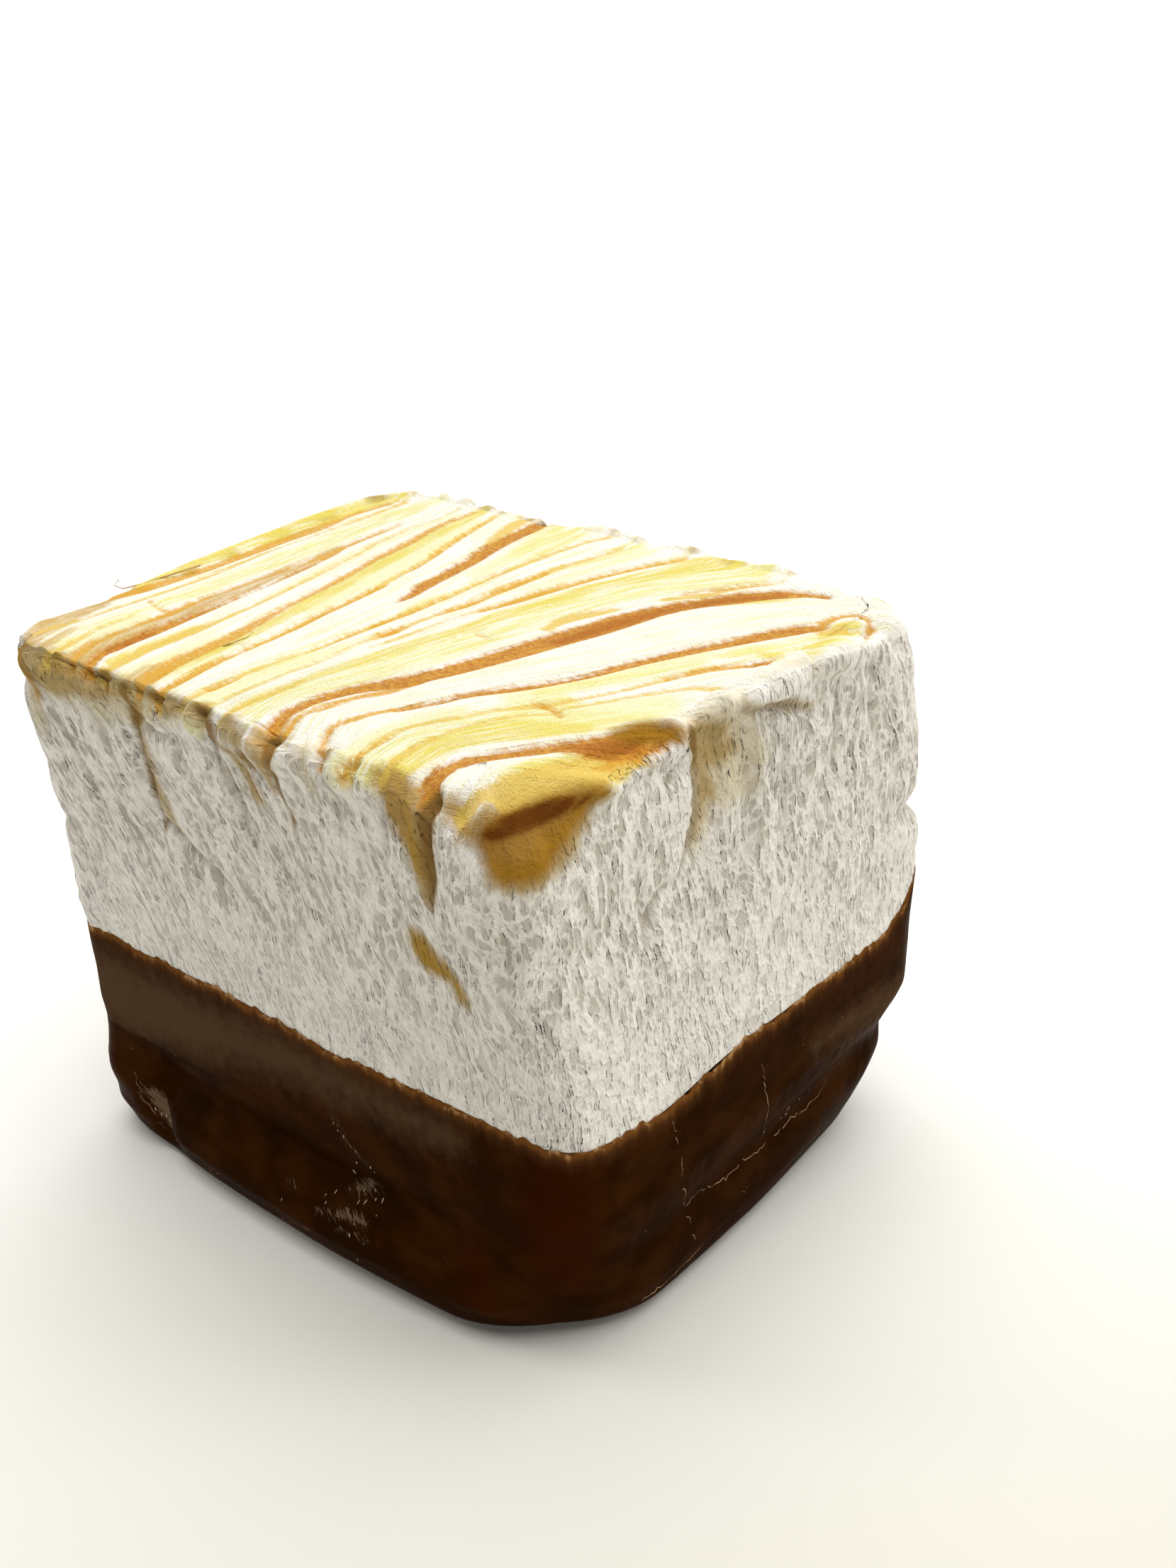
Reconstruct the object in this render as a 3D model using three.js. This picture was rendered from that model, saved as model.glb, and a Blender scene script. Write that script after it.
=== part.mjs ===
// A hand-cut marshmallow block with its lower part dipped in dark chocolate.
// Millimetres, +Z up. The origin is the middle of the flat underside.
// -Y is the long front face and +X the short right face. The block leans a little, as the knife left
// it, and the chocolate foot spreads where it set.
//
// There are two solids: the marshmallow block, and the chocolate shell that it sits in. Each is turned
// on a lathe first. Its rings are then laid one by one on the rounded, uneven outline of the real thing.

import * as THREE from "three";
import { mergeVertices } from "three/addons/utils/BufferGeometryUtils.js";

// ---- Driving dimensions ----

const TOP = 31; // height of the top face above the table
const RIM = 13.2; // usual height of the dip line
const SOLE = 2.2; // chocolate under the block
const SEAT = 0.3; // clearance between the block and its shell
const LIP = 0.35; // chocolate thickness at the dip line
const LIP_DEPTH = 3; // depth below the dip line over which the shell gains its full thickness
const BLOCK_ROUND = 1.6; // rounding of the block's lower edge
const FOOT_ROUND = 1.2; // rounding of the shell's lower edge
const ROUND_MIDDLE = 1 - Math.SQRT1_2; // where a rounding's middle lies, as a share of its radius

const COLUMNS = 96; // columns of facets round each body
const CORNER_CROWDING = 1.25; // over 1 draws the columns towards the corners
const DIPPED_ROWS = 3; // rows of facets up the dipped part of the block
const BARE_ROWS = 9; // rows up the bare part
const EDGE_ROWS = 6; // rows over the rounded top edge
const FLAT_RINGS = [0.2, 0.5]; // rings across the flat of the top, as shares of the way to its middle
const FOOT_HEIGHTS = [0, 0.3, 0.8, 1.5, 2.2, 3, 3.8, 4.6, 5.2, 5.8]; // rows up the shell's foot
const WALL_HEIGHTS = [7, 8.5, 10.2, 11.8]; // rows from there to the dip line, for a dip line at RIM

// Outlines at given heights. Corners run front left, front right, back right, back left, and so do
// their rounding radii. bows says how far the middle of the front, right, back and left side stands out.
const BOW_FALL = 4; // how fast a bow dies away inwards from its side
const BLOCK_OUTLINES = [
  {
    z: 2.5,
    corners: [[-16.4, -12.4], [17.2, -12.4], [16, 12.8], [-16.2, 13.4]],
    radii: [3, 5.4, 4.2, 3.5],
    bows: [0, 0, 0, 0],
  },
  {
    z: 10.4,
    corners: [[-17.5, -13], [18.7, -12.7], [18.8, 13.9], [-17.4, 13.9]],
    radii: [2.4, 2.8, 2, 2.8],
    bows: [0, 0, 0, 0],
  },
  {
    z: RIM,
    corners: [[-18.9, -14.3], [19.8, -13.8], [20.1, 15.1], [-18.5, 15]],
    radii: [2.2, 2.6, 1.4, 2.6],
    bows: [-0.1, 0.2, 0.2, 0.1],
  },
  {
    z: 23,
    corners: [[-19.2, -14.3], [18.8, -14.1], [20.4, 15.4], [-19, 15.1]],
    radii: [2.3, 3.4, 2.2, 3],
    bows: [-0.2, -0.2, 0.3, 0.2],
  },
  {
    z: TOP,
    corners: [[-20.1, -14.7], [19.2, -14.9], [20.7, 15.5], [-19.7, 15.2]],
    radii: [3.5, 3.6, 3.1, 3.2],
    bows: [-0.2, -1, 0.2, 0.4],
  },
];
const [AT_FLOOR, , AT_RIM, AT_WAIST, AT_TOP] = BLOCK_OUTLINES;

const SHELL_OUTLINES = [
  {
    z: 0,
    corners: [[-18.5, -14.3], [18.5, -13.9], [16.5, 14.1], [-17.6, 14.8]],
    radii: [3.6, 8, 4.6, 4],
    bows: [1.3, 1, 0.2, 0.3],
  },
  {
    z: 2.2,
    corners: [[-19.4, -14.8], [19.1, -14.4], [17.5, 14.5], [-18.3, 15.2]],
    radii: [3.2, 7.2, 4.4, 3.8],
    bows: [1.1, 0.8, 0.2, 0.3],
  },
  {
    z: 5.2,
    corners: [[-19, -14.5], [19.4, -14.3], [18.8, 14.9], [-18.5, 15.2]],
    radii: [2.8, 5, 3.8, 3.2],
    bows: [0, 0.2, 0.2, 0.2],
  },
  {
    z: 8.5,
    corners: [[-19.1, -14.6], [19.9, -14.2], [19.9, 15.4], [-18.8, 15.5]],
    radii: [2.6, 3.6, 2.8, 3],
    bows: [0, 0.3, 0.3, 0.2],
  },
  AT_RIM,
];

// Where a form that belongs to the front or the right side fades in, going outwards from the middle.
const FRONT_SIDE = { from: 12, to: 14 };
const RIGHT_SIDE = { from: 16, to: 18.5 };

// Places where the dip line, the top or a side departs from the plain form.
const RIM_RISE_FRONT = 0.3;
const RIM_DIP_FRONT = { x: 4.2, width: 5, depth: 0.5 };
const RIM_DIP_RIGHT = { y: -7.5, width: 4, depth: 0.8 };
const RIM_SMEAR = { width: 2.4, height: 2.6 }; // at the back right corner
const EDGE_ROUND = { plain: 0.9, frontRight: 4, backRight: 1.6, spread: 7 };
const TOP_SAG = { backRight: 0.25, front: 0.35, spread: 9, frontX: 4.5, frontWidth: 4 };
const TORN_LIP = { depth: 0.55, from: -6, to: 10, fade: 2, pitch: 5.2, fall: 2.2 };
const FLAP = { y: -4.2, width: 0.9, depth: 0.45, top: 30, bottom: 22, fade: 2.5 };
const BACK_NICK = { z: 19.8, height: 1, reach: 3, depth: 0.6 };

const { clamp, lerp, smoothstep } = THREE.MathUtils;

const bell = (distance, width) => Math.exp(-((distance / width) ** 2));

// A bell round one corner of an outline, at a point in plan.
function nearCorner({ x, y }, [cornerX, cornerY], width) {
  return bell(Math.hypot(x - cornerX, y - cornerY), width);
}

// How far a point in plan belongs to the front and to the right side, from 0 to 1.
const onFrontSide = ({ y }) => smoothstep(-y, FRONT_SIDE.from, FRONT_SIDE.to);
const onRightSide = ({ x }) => smoothstep(x, RIGHT_SIDE.from, RIGHT_SIDE.to);

// ---- Outlines ----

// The value between four corner values at (u, v), each from -1 to 1.
function betweenCorners([frontLeft, frontRight, backRight, backLeft], u, v) {
  const front = lerp(frontLeft, frontRight, (u + 1) / 2);
  const back = lerp(backLeft, backRight, (u + 1) / 2);
  return lerp(front, back, (v + 1) / 2);
}

// A point of one outline in plan, where (u, v) is on the edge of the square from -1 to 1.
function outlinePoint({ corners, radii, bows }, u, v) {
  const xs = corners.map((corner) => corner[0]);
  const ys = corners.map((corner) => corner[1]);
  const halfX = (xs[1] + xs[2] - xs[0] - xs[3]) / 4;
  const halfY = (ys[2] + ys[3] - ys[0] - ys[1]) / 4;
  const radius = betweenCorners(radii, u, v);
  const centre = new THREE.Vector2(
    clamp(u * halfX, radius - halfX, halfX - radius),
    clamp(v * halfY, radius - halfY, halfY - radius),
  );
  const arm = new THREE.Vector2(u * halfX, v * halfY).sub(centre).setLength(radius);
  const roundU = (centre.x + arm.x) / halfX;
  const roundV = (centre.y + arm.y) / halfY;
  const bulgeX = 1 - roundU ** 2;
  const bulgeY = 1 - roundV ** 2;
  const bowX = roundU > 0 ? bows[1] : -bows[3];
  const bowY = roundV > 0 ? bows[2] : -bows[0];
  return new THREE.Vector2(
    betweenCorners(xs, roundU, roundV) + bowX * bulgeY * roundU ** BOW_FALL,
    betweenCorners(ys, roundU, roundV) + bowY * bulgeX * roundV ** BOW_FALL,
  );
}

// A point of a body's side at the height z, between the outlines below and above it.
function sidePoint(outlines, u, v, z) {
  const found = outlines.findIndex((outline) => outline.z > z);
  const upper = found < 0 ? outlines.length - 1 : Math.max(found, 1);
  const [low, high] = [outlines[upper - 1], outlines[upper]];
  const share = clamp((z - low.z) / (high.z - low.z), 0, 1);
  return outlinePoint(low, u, v).lerp(outlinePoint(high, u, v), share);
}

// The middle of an outline's corners, towards which insets go.
function middleOf({ corners }) {
  const sum = corners.reduce((total, [x, y]) => total.add(new THREE.Vector2(x, y)), new THREE.Vector2());
  return sum.divideScalar(corners.length);
}

// The point moved outwards by a distance, or inwards where that is negative.
function standOff(point, middle, distance) {
  const arm = point.clone().sub(middle);
  return arm.setLength(Math.max(0, arm.length() + distance)).add(middle);
}

// ---- Forms that depend on the place ----

// Height of the dip line at a point in plan.
function rimHeight(point) {
  const front = RIM_RISE_FRONT - RIM_DIP_FRONT.depth * bell(point.x - RIM_DIP_FRONT.x, RIM_DIP_FRONT.width);
  const right = -RIM_DIP_RIGHT.depth * bell(point.y - RIM_DIP_RIGHT.y, RIM_DIP_RIGHT.width);
  const smear = RIM_SMEAR.height * nearCorner(point, AT_RIM.corners[2], RIM_SMEAR.width);
  return RIM + front * onFrontSide(point) + right * onRightSide(point) + smear;
}

// Rounding of the top edge at a point in plan.
function edgeRound(point) {
  const frontRight = EDGE_ROUND.frontRight * nearCorner(point, AT_TOP.corners[1], EDGE_ROUND.spread);
  const backRight = EDGE_ROUND.backRight * nearCorner(point, AT_TOP.corners[2], EDGE_ROUND.spread);
  return EDGE_ROUND.plain + frontRight + backRight;
}

// How far the top face hangs below its full height at a point in plan.
function topSag(point) {
  const backRight = TOP_SAG.backRight * nearCorner(point, AT_TOP.corners[2], TOP_SAG.spread);
  const front = TOP_SAG.front * bell(point.x - TOP_SAG.frontX, TOP_SAG.frontWidth);
  return backRight + front * onFrontSide(point);
}

// How far the bare sides are worn in at a point in plan and a height: the torn lip and the cut flap on
// the right, and a nick in the back right edge.
function sideWear(point, z) {
  const { from, to, fade, pitch, depth, fall } = TORN_LIP;
  const lipSpan = smoothstep(point.y, from, from + fade) * smoothstep(to - point.y, 0, fade);
  const tooth = 0.5 - 0.5 * Math.cos(((point.y - from) / pitch) * 2 * Math.PI);
  const lip = depth * tooth * lipSpan * bell(z - TOP, fall);
  const flapEnds = smoothstep(z - FLAP.bottom, 0, FLAP.fade) * smoothstep(FLAP.top - z, 0, FLAP.fade);
  const flap = FLAP.depth * bell(point.y - FLAP.y, FLAP.width) * flapEnds;
  const reach = nearCorner(point, AT_WAIST.corners[2], BACK_NICK.reach);
  const nick = BACK_NICK.depth * reach * bell(z - BACK_NICK.z, BACK_NICK.height);
  return (lip + flap) * onRightSide(point) + nick;
}

// ---- Rings ----

// A closed body from its rings, lowest first. Each ring is a function that gives the point for a place
// (u, v) on the edge of the square from -1 to 1. The first and the last ring are single points.
function bodyOfRings(rings) {
  const profile = rings.map((_, index) => {
    const isEnd = index === 0 || index === rings.length - 1;
    return new THREE.Vector2(isEnd ? 0 : 1, index);
  });
  const lathe = new THREE.LatheGeometry(profile, COLUMNS);
  lathe.deleteAttribute("normal");
  lathe.deleteAttribute("uv");
  const geometry = mergeVertices(lathe);
  const positions = geometry.getAttribute("position");
  for (let index = 0; index < positions.count; index += 1) {
    const angle = Math.atan2(positions.getX(index), positions.getZ(index));
    const column = Math.round((angle / (2 * Math.PI)) * COLUMNS + COLUMNS) % COLUMNS;
    const ring = rings[Math.round(positions.getY(index))];
    const { x, y, z } = ring(...aroundSquare(column / COLUMNS));
    positions.setXYZ(index, x, y, z);
  }
  geometry.computeVertexNormals();
  return geometry;
}

// The place on the edge of the square after a share of a turn, from the front left corner to the right.
function aroundSquare(turn) {
  const side = Math.floor(turn * 4);
  const across = 2 * (turn * 4 - side) - 1;
  const along = Math.sign(across) * (1 - (1 - Math.abs(across)) ** CORNER_CROWDING);
  return [[along, -1], [1, along], [-along, 1], [-1, -along]][side];
}

const steps = (count) => Array.from({ length: count }, (_, index) => (index + 1) / count);

// ---- The block ----

const BLOCK_FLOOR = SOLE + SEAT;
const BLOCK_MIDDLE = middleOf(AT_TOP);

// The dipped part's side, a share of the way up to the dip line.
function dippedRing(share) {
  return (u, v) => {
    const rim = rimHeight(sidePoint(BLOCK_OUTLINES, u, v, RIM));
    const plain = sidePoint(BLOCK_OUTLINES, u, v, lerp(BLOCK_FLOOR + BLOCK_ROUND, RIM, share));
    return { x: plain.x, y: plain.y, z: lerp(BLOCK_FLOOR + BLOCK_ROUND, rim, share) };
  };
}

// The bare part's side, a share of the way from the dip line to where the top edge starts to round.
function bareRing(share) {
  return (u, v) => {
    const rim = rimHeight(sidePoint(BLOCK_OUTLINES, u, v, RIM));
    const shoulder = TOP - edgeRound(sidePoint(BLOCK_OUTLINES, u, v, TOP));
    const plain = sidePoint(BLOCK_OUTLINES, u, v, lerp(RIM, shoulder, share));
    const z = lerp(rim, shoulder, share);
    const point = standOff(plain, BLOCK_MIDDLE, -sideWear(plain, z));
    return { x: point.x, y: point.y, z: z - topSag(plain) * share ** 2 };
  };
}

// The rounded top edge, a share of a quarter turn over it.
function edgeRing(share) {
  return (u, v) => {
    const crown = sidePoint(BLOCK_OUTLINES, u, v, TOP);
    const round = edgeRound(crown);
    const angle = (share * Math.PI) / 2;
    const z = TOP - round * (1 - Math.sin(angle));
    const plain = sidePoint(BLOCK_OUTLINES, u, v, z);
    const inset = round * (1 - Math.cos(angle)) + sideWear(plain, z);
    const point = standOff(plain, BLOCK_MIDDLE, -inset);
    return { x: point.x, y: point.y, z: z - topSag(plain) };
  };
}

// The flat of the top, a share of the way from its edge to its middle.
function flatRing(share) {
  const edge = edgeRing(1);
  return (u, v) => {
    const { x, y, z } = edge(u, v);
    const point = new THREE.Vector2(x, y).lerp(BLOCK_MIDDLE, share);
    return { x: point.x, y: point.y, z: lerp(z, TOP, Math.min(1, 2 * share)) };
  };
}

// The block's rounded lower edge: a ring that far in from the outline and up from the block's floor.
function undersideRing(inset, rise) {
  return (u, v) => {
    const point = standOff(outlinePoint(AT_FLOOR, u, v), BLOCK_MIDDLE, -inset);
    return { x: point.x, y: point.y, z: BLOCK_FLOOR + rise };
  };
}

const UNDERSIDE_EDGE = undersideRing(BLOCK_ROUND, 0);
const UNDERSIDE_ROUND = undersideRing(ROUND_MIDDLE * BLOCK_ROUND, ROUND_MIDDLE * BLOCK_ROUND);

const blockRings = [
  () => ({ x: BLOCK_MIDDLE.x, y: BLOCK_MIDDLE.y, z: BLOCK_FLOOR }),
  UNDERSIDE_EDGE,
  UNDERSIDE_ROUND,
  dippedRing(0),
  ...steps(DIPPED_ROWS).map(dippedRing),
  ...steps(BARE_ROWS).map(bareRing),
  ...steps(EDGE_ROWS).map(edgeRing),
  ...FLAT_RINGS.map(flatRing),
  () => ({ x: BLOCK_MIDDLE.x, y: BLOCK_MIDDLE.y, z: TOP }),
];

// ---- The shell ----

const SHELL_MIDDLE = middleOf(SHELL_OUTLINES[0]);

// The shell's outside at a height, for a dip line at RIM. Higher dip lines stretch it upwards.
function outsideRing(height) {
  return (u, v) => {
    const rim = rimHeight(sidePoint(BLOCK_OUTLINES, u, v, RIM));
    const plain = sidePoint(SHELL_OUTLINES, u, v, height);
    const under = clamp(1 - height / FOOT_ROUND, 0, 1);
    const tuck = FOOT_ROUND * (1 - Math.sqrt(1 - under ** 2));
    const lip = (SEAT + LIP) * clamp(1 - (RIM - height) / LIP_DEPTH, 0, 1);
    const point = standOff(plain, SHELL_MIDDLE, lip - tuck);
    return { x: point.x, y: point.y, z: (height * rim) / RIM };
  };
}

// The shell's inside, which follows a ring of the block with the clearance between them.
function insideRing(blockRing, drop) {
  return (u, v) => {
    const { x, y, z } = blockRing(u, v);
    const point = standOff(new THREE.Vector2(x, y), BLOCK_MIDDLE, SEAT);
    return { x: point.x, y: point.y, z: z - drop };
  };
}

const shellRings = [
  () => ({ x: SHELL_MIDDLE.x, y: SHELL_MIDDLE.y, z: 0 }),
  ...[...FOOT_HEIGHTS, ...WALL_HEIGHTS, RIM].map(outsideRing),
  ...steps(DIPPED_ROWS).reverse().map((share) => insideRing(dippedRing(share), 0)),
  insideRing(dippedRing(0), 0),
  insideRing(UNDERSIDE_ROUND, SEAT / 2),
  insideRing(UNDERSIDE_EDGE, SEAT),
  () => ({ x: BLOCK_MIDDLE.x, y: BLOCK_MIDDLE.y, z: SOLE }),
];

// ---- The part ----

function named(name, geometry, material) {
  const mesh = new THREE.Mesh(geometry, new THREE.MeshStandardMaterial(material));
  mesh.name = name;
  return mesh;
}

const marshmallow = named("marshmallow", bodyOfRings(blockRings), {
  color: 0xefe9de,
  roughness: 0.85,
  metalness: 0,
});

const chocolateShell = named("chocolate_shell", bodyOfRings(shellRings), {
  color: 0x3d2012,
  roughness: 0.38,
  metalness: 0,
});

const dippedMarshmallow = new THREE.Group();
dippedMarshmallow.add(marshmallow, chocolateShell);

// The part stands on the middle of its box's underside.
const middle = new THREE.Box3().setFromObject(dippedMarshmallow).getCenter(new THREE.Vector3());
dippedMarshmallow.position.set(-middle.x, -middle.y, 0);

export default dippedMarshmallow;
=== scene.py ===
# %% [markdown]
# # A dipped marshmallow with a caramel swirl
# The real sweet is a block of whipped sugar foam. Caramel is folded into the foam while it is soft, the
# slab is cut by hand, and the lower part of each block is dipped in dark chocolate that sets on a tray.
# This lesson builds its looks in three steps: the forms, the colours that lie on them, and the finishes.
# We begin with the frame: the plain solids that say where everything is. We measure them and keep to them.

# %% Load the frame
import itertools
import math

import bpy
import numpy as np
from mathutils import Matrix, Vector
from mathutils.bvhtree import BVHTree


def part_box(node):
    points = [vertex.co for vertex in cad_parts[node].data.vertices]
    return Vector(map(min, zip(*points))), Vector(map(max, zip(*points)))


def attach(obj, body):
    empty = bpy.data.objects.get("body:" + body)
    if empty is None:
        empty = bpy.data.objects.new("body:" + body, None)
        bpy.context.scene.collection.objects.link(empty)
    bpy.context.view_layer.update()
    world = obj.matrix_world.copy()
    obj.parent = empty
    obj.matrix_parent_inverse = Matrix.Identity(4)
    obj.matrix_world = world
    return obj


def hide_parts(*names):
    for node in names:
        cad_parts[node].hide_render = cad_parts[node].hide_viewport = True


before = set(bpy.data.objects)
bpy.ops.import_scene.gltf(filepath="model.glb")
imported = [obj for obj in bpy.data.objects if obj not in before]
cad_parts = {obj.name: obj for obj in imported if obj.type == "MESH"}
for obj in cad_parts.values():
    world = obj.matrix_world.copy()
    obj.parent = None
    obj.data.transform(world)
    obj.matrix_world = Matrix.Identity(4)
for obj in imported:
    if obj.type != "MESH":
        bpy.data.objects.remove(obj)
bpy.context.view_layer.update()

MM = 0.001
print("frame nodes:", sorted(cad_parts))

# %% [markdown]
# ## The camera
# A small thing fills the picture only from close by, and from there its near corner looms. So the camera
# stands a hand's breadth away with a normal lens, looks down on the front corner and leans a little.
# We could track the camera to an empty, but three angles and a place say the same and never drift.

# %% Camera
LENS = 42.9
CAMERA_PLACE = (69.50, -60.86, 65.72)
CAMERA_TURN = math.radians(44.565)
CAMERA_TILT = math.radians(25.971)
CAMERA_ROLL = math.radians(-5)
NEAR_CLIP = 5


def camera_axes(turn, tilt, roll):
    """The camera's right, up and backward directions in the frame."""
    back = Vector((math.sin(turn) * math.cos(tilt), -math.cos(turn) * math.cos(tilt), math.sin(tilt)))
    level = Vector((0, 0, 1)).cross(back).normalized()
    upright = back.cross(level)
    right = math.cos(roll) * level + math.sin(roll) * upright
    return right, back.cross(right), back


camera_data = bpy.data.cameras.new("camera")
camera_data.lens = LENS
camera_data.clip_start = NEAR_CLIP * MM
camera = bpy.data.objects.new("camera", camera_data)
bpy.context.scene.collection.objects.link(camera)
camera.matrix_world = (
    Matrix.Translation(Vector(CAMERA_PLACE) * MM)
    @ Matrix(camera_axes(CAMERA_TURN, CAMERA_TILT, CAMERA_ROLL)).transposed().to_4x4()
)
bpy.context.scene.camera = camera
print("camera stands", round(Vector(CAMERA_PLACE).length), "mm from the middle of the sweet's foot")

# %% [markdown]
# ## The table
# The table is a plain flat sheet, far wider than the picture. In a bright room such a table is a shade
# darker in front and fades to white behind the sweet. A lamp could do that, but it would light the sweet
# as well, so here that light and shade are painted into the sheet's colour: a shaded white at the front
# right fades to a lit white at the back left.

# %% Table
TABLE_SIZE = 6000
TABLE_ROUGHNESS = 0.6
TABLE_WHITE = (0.64, 0.625, 0.575)
TABLE_FAR_WHITE = (0.97, 0.97, 0.95)
TABLE_PALER_TOWARDS = (-0.75, 0.66, 0)
TABLE_FROM, TABLE_TO = -45, 0


def flat_colour(material, colour, roughness):
    """Sets the plain sockets of a material's shader and gives the shader back."""
    shader = material.node_tree.nodes["Principled BSDF"]
    shader.inputs["Base Color"].default_value = (*colour, 1)
    shader.inputs["Roughness"].default_value = roughness
    return shader


def new_material(name):
    """A new material with its nodes switched on."""
    material = bpy.data.materials.new(name)
    material.use_nodes = True
    return material


table_mesh = bpy.data.meshes.new("table")
half_table = TABLE_SIZE * MM / 2
table_corners = [(x * half_table, y * half_table, 0) for x, y in ((-1, -1), (1, -1), (1, 1), (-1, 1))]
table_mesh.from_pydata(table_corners, [], [(0, 1, 2, 3)])
table = bpy.data.objects.new("table", table_mesh)
bpy.context.scene.collection.objects.link(table)
table_finish = new_material("table_white")
table_shader = flat_colour(table_finish, TABLE_WHITE, TABLE_ROUGHNESS)
table_nodes, table_links = table_finish.node_tree.nodes, table_finish.node_tree.links
table_place = table_nodes.new("ShaderNodeNewGeometry")
table_reach = table_nodes.new("ShaderNodeVectorMath")
table_reach.operation = "DOT_PRODUCT"
table_reach.inputs[1].default_value = TABLE_PALER_TOWARDS
table_fade = table_nodes.new("ShaderNodeMapRange")
table_fade.inputs["From Min"].default_value = TABLE_FROM * MM
table_fade.inputs["From Max"].default_value = TABLE_TO * MM
# The fade is painted light and shade, not a colour the sheet has.
table_painted_light = table_nodes.new("ShaderNodeValToRGB")
table_painted_light.color_ramp.elements[0].color = (*TABLE_WHITE, 1)
table_painted_light.color_ramp.elements[1].color = (*TABLE_FAR_WHITE, 1)
table_links.new(table_place.outputs["Position"], table_reach.inputs[0])
table_links.new(table_reach.outputs["Value"], table_fade.inputs["Value"])
table_links.new(table_fade.outputs["Result"], table_painted_light.inputs["Fac"])
table_links.new(table_painted_light.outputs["Color"], table_shader.inputs["Base Color"])
table_mesh.materials.append(table_finish)
print("table is", TABLE_SIZE, "mm wide and fades over", TABLE_TO - TABLE_FROM, "mm")

# %% [markdown]
# ## The light
# White foam on a white table is all about light. A broad soft sky from above burns the top out to white.
# Two low windows graze the sides and draw their wrinkles: one on the left for the front, and a stronger
# one behind on the right for the right side. A wide light from the front right fills what they leave
# dark, and the table throws light back up into everything. Suns do this for the sweet and for the whole
# table at once, where lamps would leave bright pools. Past the table the camera sees a plain white room,
# and standard colour keeps whites white.

# %% Light
SUNS = [
    # name, where it shines from, spread in degrees, strength, colour
    ("sky", (0, 0.26, 1), 80, 3.45, (1, 0.985, 0.945)),
    ("left_window", (-0.9, -0.36, 0.4), 18, 0.48, (1, 0.95, 0.84)),
    ("right_window", (0.68, 0.62, 0.42), 28, 0.62, (1, 0.96, 0.88)),
    ("front_fill", (0.68, -0.58, 0.35), 50, 0.52, (1, 0.97, 0.91)),
]
ROOM_GLOW = 0.08
ROOM_COLOUR = (1, 0.97, 0.87)
BACKDROP_GLOW = 1.1
BACKDROP_COLOUR = (1, 1, 1)

for sun_name, shines_from, degrees, strength, colour in SUNS:
    sun_data = bpy.data.lights.new(sun_name, "SUN")
    sun_data.energy = strength
    sun_data.angle = math.radians(degrees)
    sun_data.color = colour
    lamp = bpy.data.objects.new(sun_name, sun_data)
    bpy.context.scene.collection.objects.link(lamp)
    lamp.rotation_euler = Vector(shines_from).to_track_quat("Z", "Y").to_euler()

world = bpy.data.worlds.new("room")
world.use_nodes = True
bpy.context.scene.world = world
room_nodes = world.node_tree.nodes
room_links = world.node_tree.links
seen_room = room_nodes.new("ShaderNodeLightPath")
room = room_nodes["Background"]
backdrop = room_nodes.new("ShaderNodeBackground")
for background, strength, colour in (
    (room, ROOM_GLOW, ROOM_COLOUR),
    (backdrop, BACKDROP_GLOW, BACKDROP_COLOUR),
):
    background.inputs["Strength"].default_value = strength
    background.inputs["Color"].default_value = (*colour, 1)
either_room = room_nodes.new("ShaderNodeMixShader")
room_links.new(seen_room.outputs["Is Camera Ray"], either_room.inputs[0])
room_links.new(room.outputs[0], either_room.inputs[1])
room_links.new(backdrop.outputs[0], either_room.inputs[2])
room_links.new(either_room.outputs[0], room_nodes["World Output"].inputs["Surface"])
bpy.context.scene.view_settings.view_transform = "Standard"
print("suns:", [(sun[0], sun[3]) for sun in SUNS], "room glow", ROOM_GLOW)

# %% [markdown]
# ## Outlines
# A hand-cut block is nearly a box, but no two of its corners are alike. We describe it as a stack of
# outlines seen from above. Each has four corners, a rounding at each corner and a slight bow on each side.
# Everything between two heights is a straight blend. The chocolate has its own stack, and both stacks
# share the outline at the dip line, so the chocolate meets the foam without a step.

# %% Outlines of the block
TOP = 31
WAIST = 23
RIM = 13.2
SOLE = 2.2
SEAT = 0.3
FOOT_ROUND = 1.2
FRONT_LEFT, FRONT_RIGHT, BACK_RIGHT = range(3)


def outline(z, corners, radii, bows):
    """Corners run front left, front right, back right, back left; bows front, right, back, left."""
    xs, ys = np.array(corners, float).T
    return {"z": z, "xs": xs, "ys": ys, "radii": np.array(radii, float), "bows": np.array(bows, float)}


AT_RIM = outline(
    RIM,
    [(-18.9, -14.3), (19.8, -13.8), (20.1, 15.1), (-18.5, 15)],
    radii=[2.2, 2.6, 1.4, 2.6],
    bows=[-0.1, 0.2, 0.2, 0.1],
)
AT_WAIST = outline(
    WAIST,
    [(-19.2, -14.3), (18.8, -14.1), (20.4, 15.4), (-19, 15.1)],
    radii=[2.3, 3.4, 2.2, 3],
    bows=[-0.2, -0.2, 0.3, 0.2],
)
AT_TOP = outline(
    TOP,
    [(-20.1, -14.7), (19.2, -14.9), (20.7, 15.5), (-19.7, 15.2)],
    radii=[3.5, 3.6, 3.1, 3.2],
    bows=[-0.2, -1, 0.2, 0.4],
)
BLOCK_OUTLINES = [
    outline(
        SOLE + SEAT,
        [(-16.4, -12.4), (17.2, -12.4), (16, 12.8), (-16.2, 13.4)],
        radii=[3, 5.4, 4.2, 3.5],
        bows=[0, 0, 0, 0],
    ),
    outline(
        10.4,
        [(-17.5, -13), (18.7, -12.7), (18.8, 13.9), (-17.4, 13.9)],
        radii=[2.4, 2.8, 2, 2.8],
        bows=[0, 0, 0, 0],
    ),
    AT_RIM,
    AT_WAIST,
    AT_TOP,
]
print("block across the top, in mm:", round(np.ptp(AT_TOP["xs"]), 1), "by", round(np.ptp(AT_TOP["ys"]), 1))

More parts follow.
